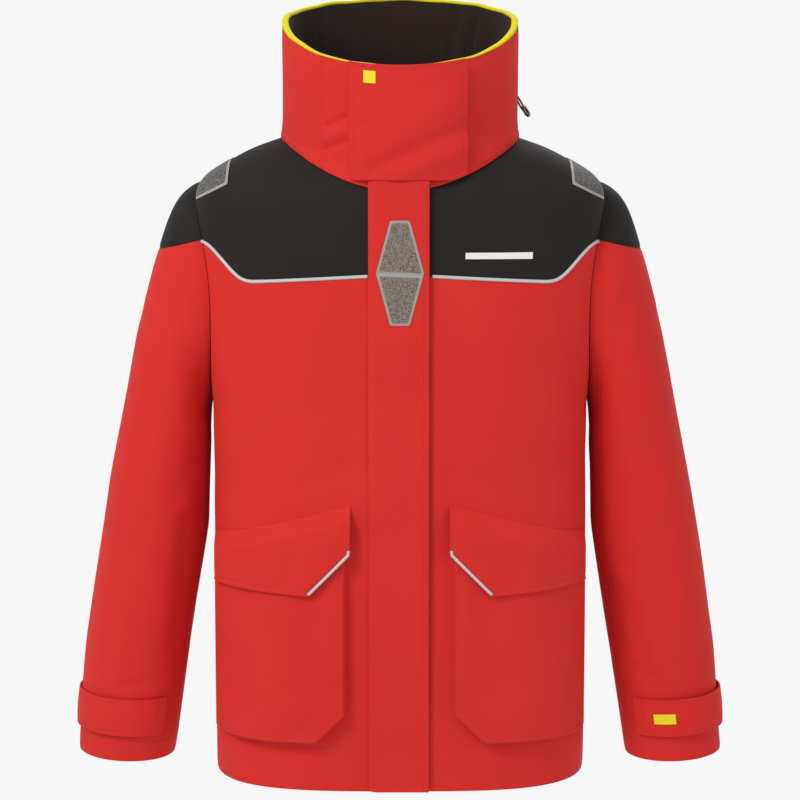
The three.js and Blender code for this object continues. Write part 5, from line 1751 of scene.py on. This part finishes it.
def sleeve_table():
    """Rings of points from the cuff up to the armhole, 4 mm apart, with the bends between rings eased."""
    turn = np.linspace(0, 2 * math.pi, ARM_TURNS, endpoint=False)
    y, z = ARMHOLE_Y + ARMHOLE_DEPTH * np.sin(turn), ARMHOLE_Z + ARMHOLE_HEIGHT * np.cos(turn)
    rings = [np.stack([body_side(y, z) - SEAM_GAP, y, z], -1)]
    for (across, down), (in_across, in_down) in zip(OUTER_LINE, INNER_LINE):
        outer = np.array([mix(SHOULDER_HALF, 391, across), 0, 700 - SLEEVE_DROP * down])
        inner = np.array([mix(HALF_WIDTH, 275, in_across), 0, mix(ARMPIT, 6, in_down)])
        ring = (outer + inner) / 2 + (outer - inner) / 2 * np.cos(turn)[:, None]
        ring[:, 1] = mix(ARMHOLE_Y, -10, down) + mix(ARMHOLE_DEPTH, 60, down) * np.sin(turn)
        rings.append(ring)
    rings = np.array(rings)[::-1].reshape(len(rings), -1)
    gaps = np.append(np.diff(OUTER_LINE[:, 1])[::-1] * SLEEVE_DROP, 12)
    along = np.concatenate([[0], np.cumsum(gaps)])
    steps = np.linspace(0, along[-1], int(along[-1] / 4) + 1)
    table = np.stack([np.interp(steps, along, column) for column in rings.T], 1)
    return steps, eased(table, 3.2).reshape(len(steps), ARM_TURNS, 3)


ARM_STEPS, ARM_TABLE = sleeve_table()
ARM_LENGTH = ARM_STEPS[-1]


def sleeve_at(u, v):
    """Points of the left sleeve. u is once round from the outer side by the back, v is up from the cuff."""
    column = np.mod(u, 1.0) * ARM_TURNS
    first = np.floor(column).astype(int) % ARM_TURNS
    row = np.clip(v / ARM_LENGTH, 0, 1) * (len(ARM_STEPS) - 1)
    low = np.minimum(np.floor(row).astype(int), len(ARM_STEPS) - 2)
    a, b = (column - np.floor(column))[:, None], (row - low)[:, None]
    second = (first + 1) % ARM_TURNS
    below = mix(ARM_TABLE[low, first], ARM_TABLE[low, second], a)
    above = mix(ARM_TABLE[low + 1, first], ARM_TABLE[low + 1, second], a)
    return mix(below, above, b)


def cap_seam(p):
    """Above the seam between the cap and the sleeve."""
    return (p[:, 2] + CAP_SLOPE * abs(p[:, 0]) - 690.5) / math.hypot(1, CAP_SLOPE)


SLEEVE_FOLDS = {
    1: [
        (262, 560, 238, 430, 14, -2.4), (300, 470, 318, 330, 20, 2.0), (246, 400, 262, 250, 12, -1.6),
        (330, 300, 345, 150, 18, 1.6), (290, 320, 322, 130, 15, -1.5), (270, 210, 300, 96, 9, -1.5),
        (276, 122, 300, 112, 6, -1.6), (262, 640, 300, 560, 16, 1.4),
    ],
    -1: [
        (258, 560, 236, 430, 14, -2.6), (305, 520, 325, 350, 22, 1.8), (252, 300, 266, 150, 10, -2.6),
        (330, 300, 350, 170, 18, 1.8), (300, 300, 318, 120, 14, -1.4), (286, 108, 330, 102, 7, -1.7),
        (240, 380, 262, 330, 10, -1.4), (262, 640, 300, 560, 16, 1.4),
    ],
}


def sleeve_relief(side):
    def relief(p, u, v, edge):
        shape = 1.5 * softness(p * [1.3, 1, 0.8], 31 + side)
        front = smooth_step(-p[:, 1], -10, 25)
        shape += folds(p, SLEEVE_FOLDS[side]) * front
        shape += folds(p - [4, 0, -25], SLEEVE_FOLDS[-side][::2]) * (1 - front)
        from_cap = abs(cap_seam(p))
        shape *= np.clip(from_cap / 20, 0, 1) * np.clip(v / 30, 0, 1) * np.clip((ARM_LENGTH - v) / 40, 0, 1)
        shape = shape + seam(from_cap, 1.0, 2.4) + seam(ARM_LENGTH - v, 1.2, 5.0)
        return shape + seam(abs(v - CUFF_STITCH), 0.45, 1.5) - 0.5 * np.exp(-v / 2)

    return relief


low_rows, top_rows = lines(0, 640, 4.6, (CUFF_STITCH,), 1.2), np.arange(640, ARM_LENGTH, 2.2)
arm_rows = np.unique(np.concatenate([low_rows, top_rows, [ARM_LENGTH]]))
arm_columns = np.linspace(0, 1, ARM_TURNS + 1)
for side, word in SIDES:
    across = np.array([side * 0.9969, 0, -0.078])
    below = Skin(sleeve_at, (1 / ARM_TURNS, 2.0), [lambda p: -cap_seam(p) - 0.05], sleeve_relief(side))
    above = Skin(sleeve_at, (1 / ARM_TURNS, 2.0), [lambda p: cap_seam(p) - 0.05], sleeve_relief(side))
    piece = cloth(f"sleeve_{word}_cloth", below, arm_columns, arm_rows, 2.0, welded=True, mirrored=side < 0)
    finish_piece(piece, red_cloth, None, [f"sleeve_{word}"])
    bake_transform(piece)
    upper = arm_rows[arm_rows > 520]
    piece = cloth(f"sleeve_cap_{word}_cloth", above, arm_columns, upper, 2.0, welded=True, mirrored=side < 0)
    finish_piece(piece, black_cloth, None, [f"sleeve_cap_{word}"])
    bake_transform(piece)
    arm_lines = [line_on(below, np.linspace(0, 1, 300), np.full(300, CUFF_STITCH))]
    seam_turn = np.linspace(-0.405, -0.43, 90) if side > 0 else np.linspace(-0.44, -0.46, 90)
    arm_lines.append(line_on(below, seam_turn, np.linspace(255, 82, 90)))
    name = f"sleeve_{word}_stitching"
    stitches(
        name, arm_lines, red_thread, f"sleeve_assembly_{word}", mirrored=side < 0, size=0.38
    )


# ---------------------------------------------------------------- cuffs
# Inside each sleeve an elastic fleece cuff seals the wrist. Outside, a doubled tab of red cloth is sewn in at
# the back and wraps forwards to hook-and-loop on the sleeve.
def cuff_point(turn, along, out):
    """Off the sleeve by out. turn is in degrees from its outer side, and along is up from the cuff."""
    u = turn / 360
    normals = normals_of(sleeve_at, u, along, 1 / ARM_TURNS, 2.0)
    return sleeve_at(u, along) + normals * np.reshape(out, (-1, 1))


def inner_cuff_at(u, v):
    return cuff_point(u * 360, v, np.interp(v, [14, 68, 74, 89], [-14.8, -14.8, -13.8, -3.2]))


def ribbed(p, u, v, edge):
    return 0.35 * np.sin(u * 2 * math.pi * 56) * np.clip((76 - v) / 8, 0, 1) - 0.35


TAB_END, TAB_SEAM = -134, 40  # degrees from the outer side
CUFF_TAB_LENGTH, CUFF_TAB_WIDTH = 177, 44


def cuff_tab_at(u, v):
    turn = mix(TAB_END, TAB_SEAM, u)
    return cuff_point(turn, mix(32, 76, v), 2 + mix(0.3, 2.9, smooth_step((TAB_SEAM - turn) / 12, 0, 1)))


def cuff_tab_relief(p, u, v, edge):
    turn, up = mix(TAB_END, TAB_SEAM, u), v * CUFF_TAB_WIDTH
    shape = 0.5 * softness(p * [2, 1, 2], 41) + 0.9 * np.sin(math.pi * v)
    shape += 0.9 * np.exp(-(((turn + 62) / 12) ** 2)) - 0.8 * np.exp(-(((turn + 84) / 8) ** 2)) * v
    shape = shape * np.clip((TAB_SEAM - turn) / 16, 0, 1)
    end = (turn - TAB_END) * 1.02
    for distance in (abs(up - 4.5), abs(up - 39.5), abs(end - 5), abs(end - 9)):
        shape = shape + seam(distance, 0.4, 1.3)
    return shape


tab_columns = lines(0, 1, 0.016, (5 / CUFF_TAB_LENGTH, 9 / CUFF_TAB_LENGTH), 0.9 / CUFF_TAB_LENGTH)
tab_rows = lines(0, 1, 0.08, (4.5 / CUFF_TAB_WIDTH, 39.5 / CUFF_TAB_WIDTH), 0.9 / CUFF_TAB_WIDTH)
cuff_tab_skin = Skin(cuff_tab_at, (1e-3, 1e-2), [], cuff_tab_relief)
for side, word in SIDES:
    other, arm, leaf = side < 0, f"sleeve_assembly_{word}", f"cuff_tab_leaf_{word}"
    skin = Skin(inner_cuff_at, (1 / ARM_TURNS, 2.0), [], ribbed)
    piece = cloth(
        f"inner_cuff_{word}_ribbed", skin, np.linspace(0, 1, 337), lines(14, 89, 4), 1.4, welded=True,
        mirrored=other
    )
    finish_piece(piece, fleece, arm, [f"inner_cuff_{word}"])
    piece = cloth(f"cuff_tab_{word}_cloth", cuff_tab_skin, tab_columns, tab_rows, 2.0, mirrored=other)
    finish_piece(piece, red_cloth, None, [f"cuff_tab_{word}"])
    ends = cuff_point(np.array([39.5, 29.0]), np.full(2, 54.0), np.full(2, 1.5))
    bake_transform(piece)
    tab_ways = [
        line_on(cuff_tab_skin, np.linspace(0.03, 0.93, 140), np.full(140, place / CUFF_TAB_WIDTH))
        for place in (4.5, 39.5)
    ]
    tab_ways += [
        line_on(cuff_tab_skin, np.full(40, place / CUFF_TAB_LENGTH), np.linspace(0.1, 0.9, 40))
        for place in (5, 9)
    ]
    name = f"cuff_tab_{word}_stitching"
    stitches(name, tab_ways, red_thread, leaf, mirrored=other, size=0.36)
    for kind, body_name, out, last in (("loop", arm, 1.3, -68), ("hook", leaf, 2.6, -108)):

        def cuff_tape_at(u, v):
            return cuff_point(u, v, np.full(len(u), out))

        name, node = f"cuff_{kind}_tape_{word}_woven", f"cuff_{kind}_tape_{word}"
        strip(name, cuff_tape_at, lines(-132, last, 4), lines(37.3, 70.7, 6), body_name, node, 1.0, other)


# ---------------------------------------------------------------- sewn and printed marks
# Three small plain marks: a white printed bar on the chest, a yellow square on the throat tab and a yellow bar
# on the left cuff tab. Each is a thin film bonded to the cloth.
def printed_film(name, colour):
    """Heat-bonded film: smooth, satin, with the cloth's grain just showing through."""
    material = new_material(name)
    place = add_node(material, "TexCoord").outputs["Object"]
    grain = add_node(material, "TexNoise", {"Vector": place, "Scale": 1100.0, "Detail": 2.0})
    tone = add_node(
        material, "Mix", {"Factor": grain.outputs["Fac"], 6: linear(colour), 7: linear(colour, 0.9)},
        data_type="RGBA"
    )
    bump = add_node(material, "Bump", {"Height": grain.outputs["Fac"], "Strength": 0.15, "Distance": 0.0001})
    shader = add_node(
        material, "BsdfPrincipled",
        {"Base Color": tone.outputs[2], "Roughness": 0.45, "Normal": bump.outputs[0]}
    )
    add_node(material, "OutputMaterial", {0: shader.outputs[0]})
    return material


def mark(name, at, steps, relief, us, vs, material, body_name):
    """A film mark that follows the cloth's relief, half a millimetre above it."""
    skin = Skin(at, steps, [], lambda p, u, v, edge: relief(p, u, v, edge) + 0.5)
    finish_piece(cloth(name, skin, us, vs, 0.4, round_edge=0.1), material, body_name, [])


white_film = printed_film("bonded_film_white", "#F2F1EE")
yellow_film = printed_film("bonded_film_yellow", "#EFE000")
chest_skin, _, _ = front_yoke(1, 6)
chest_way = way_to(SIDE_U, lambda p: p[:, 2] - 619)
chest_us = np.interp(np.linspace(74, 150, 30), body(SIDE_U, chest_way)[:, 0], SIDE_U)


def chest_bar_at(u, v):
    return body(u, np.interp(u, SIDE_U, chest_way) + v)


def chest_relief(p, u, v, edge):
    return chest_skin.relief(p, u, 0 * v, edge)


mark(
    "chest_bar_print", chest_bar_at, (1e-4, 0.5), chest_relief, chest_us, lines(-4, 4, 2), white_film,
    "shell"
)
mark(
    "throat_tab_square_print", tab_at, (1e-3, 1e-3), tab_relief,
    lines(18 / TAB_WIDTH, 31 / TAB_WIDTH, 0.02), lines(0.835, 0.94, 0.02), yellow_film, "throat_tab_leaf"
)
mark(
    "cuff_tab_bar_print", cuff_tab_at, (1e-3, 1e-2), cuff_tab_relief, lines(0.13, 0.26, 0.016),
    lines(0.35, 0.62, 0.08), yellow_film, "cuff_tab_leaf_left"
)


# ---------------------------------------------------------------- floor and light
# A plain pale studio: a pale floor well below the hem, an even pale surround and two soft lamps.
def plain_paper():
    """Seamless backdrop paper: uncoated, dead matt and faintly uneven."""
    material = new_material("paper_floor_pale")
    place = add_node(material, "TexCoord").outputs["Object"]
    grain = add_node(material, "TexNoise", {"Vector": place, "Scale": 60.0})
    tone = add_node(
        material, "Mix", {"Factor": grain.outputs["Fac"], 6: linear("#F4F4F4"), 7: linear("#F0F0F0")},
        data_type="RGBA"
    )
    shader = add_node(material, "BsdfPrincipled", {"Base Color": tone.outputs[2], "Roughness": 0.9})
    add_node(material, "OutputMaterial", {0: shader.outputs[0]})
    return material


floor_mesh = bpy.data.meshes.new("studio_floor")
rim_turns = np.arange(96) * 2 * math.pi / 96
floor_mesh.from_pydata(
    [(2.8 * math.cos(t), 2.8 * math.sin(t), -1.9) for t in rim_turns], [], [tuple(range(96))]
)
floor = bpy.data.objects.new("studio_floor", floor_mesh)
bpy.context.scene.collection.objects.link(floor)
floor_mesh.materials.append(plain_paper())

surround = bpy.data.worlds.new("studio_surround")
surround.use_nodes = True
sky = surround.node_tree.nodes["Background"]
sky.inputs["Color"].default_value = linear("#F7F7F7")
sky.inputs["Strength"].default_value = 1.0
even_light = surround.node_tree.nodes.new("ShaderNodeBackground")
even_light.inputs["Color"].default_value = linear("#F7F7F7")
even_light.inputs["Strength"].default_value = 0.7
what_ray = surround.node_tree.nodes.new("ShaderNodeLightPath")
either = surround.node_tree.nodes.new("ShaderNodeMixShader")
surround.node_tree.links.new(what_ray.outputs["Is Camera Ray"], either.inputs[0])
surround.node_tree.links.new(even_light.outputs[0], either.inputs[1])
surround.node_tree.links.new(sky.outputs[0], either.inputs[2])
surround.node_tree.links.new(either.outputs[0], surround.node_tree.nodes["World Output"].inputs[0])
bpy.context.scene.world = surround
bpy.context.scene.view_settings.view_transform = "Standard"


def soft_lamp(name, place, target, size, power):
    """A round area lamp at a place in metres, aimed at a target."""
    lamp = bpy.data.objects.new(name, bpy.data.lights.new(name, "AREA"))
    bpy.context.scene.collection.objects.link(lamp)
    lamp.data.shape = "DISK"
    lamp.data.size = size
    lamp.data.energy = power
    lamp.location = place
    lamp.rotation_euler = (Vector(target) - Vector(place)).to_track_quat("-Z", "Y").to_euler()


soft_lamp("key_softbox", (-1.9, -2.2, 1.9), (0, -0.1, -0.3), 1.1, 54)
soft_lamp("fill_softbox", (2.2, -2.2, 0.4), (0, -0.1, -0.3), 1.8, 8)
soft_lamp("back_softbox", (0.6, 2.6, 1.6), (0, 0, -0.3), 1.6, 18)
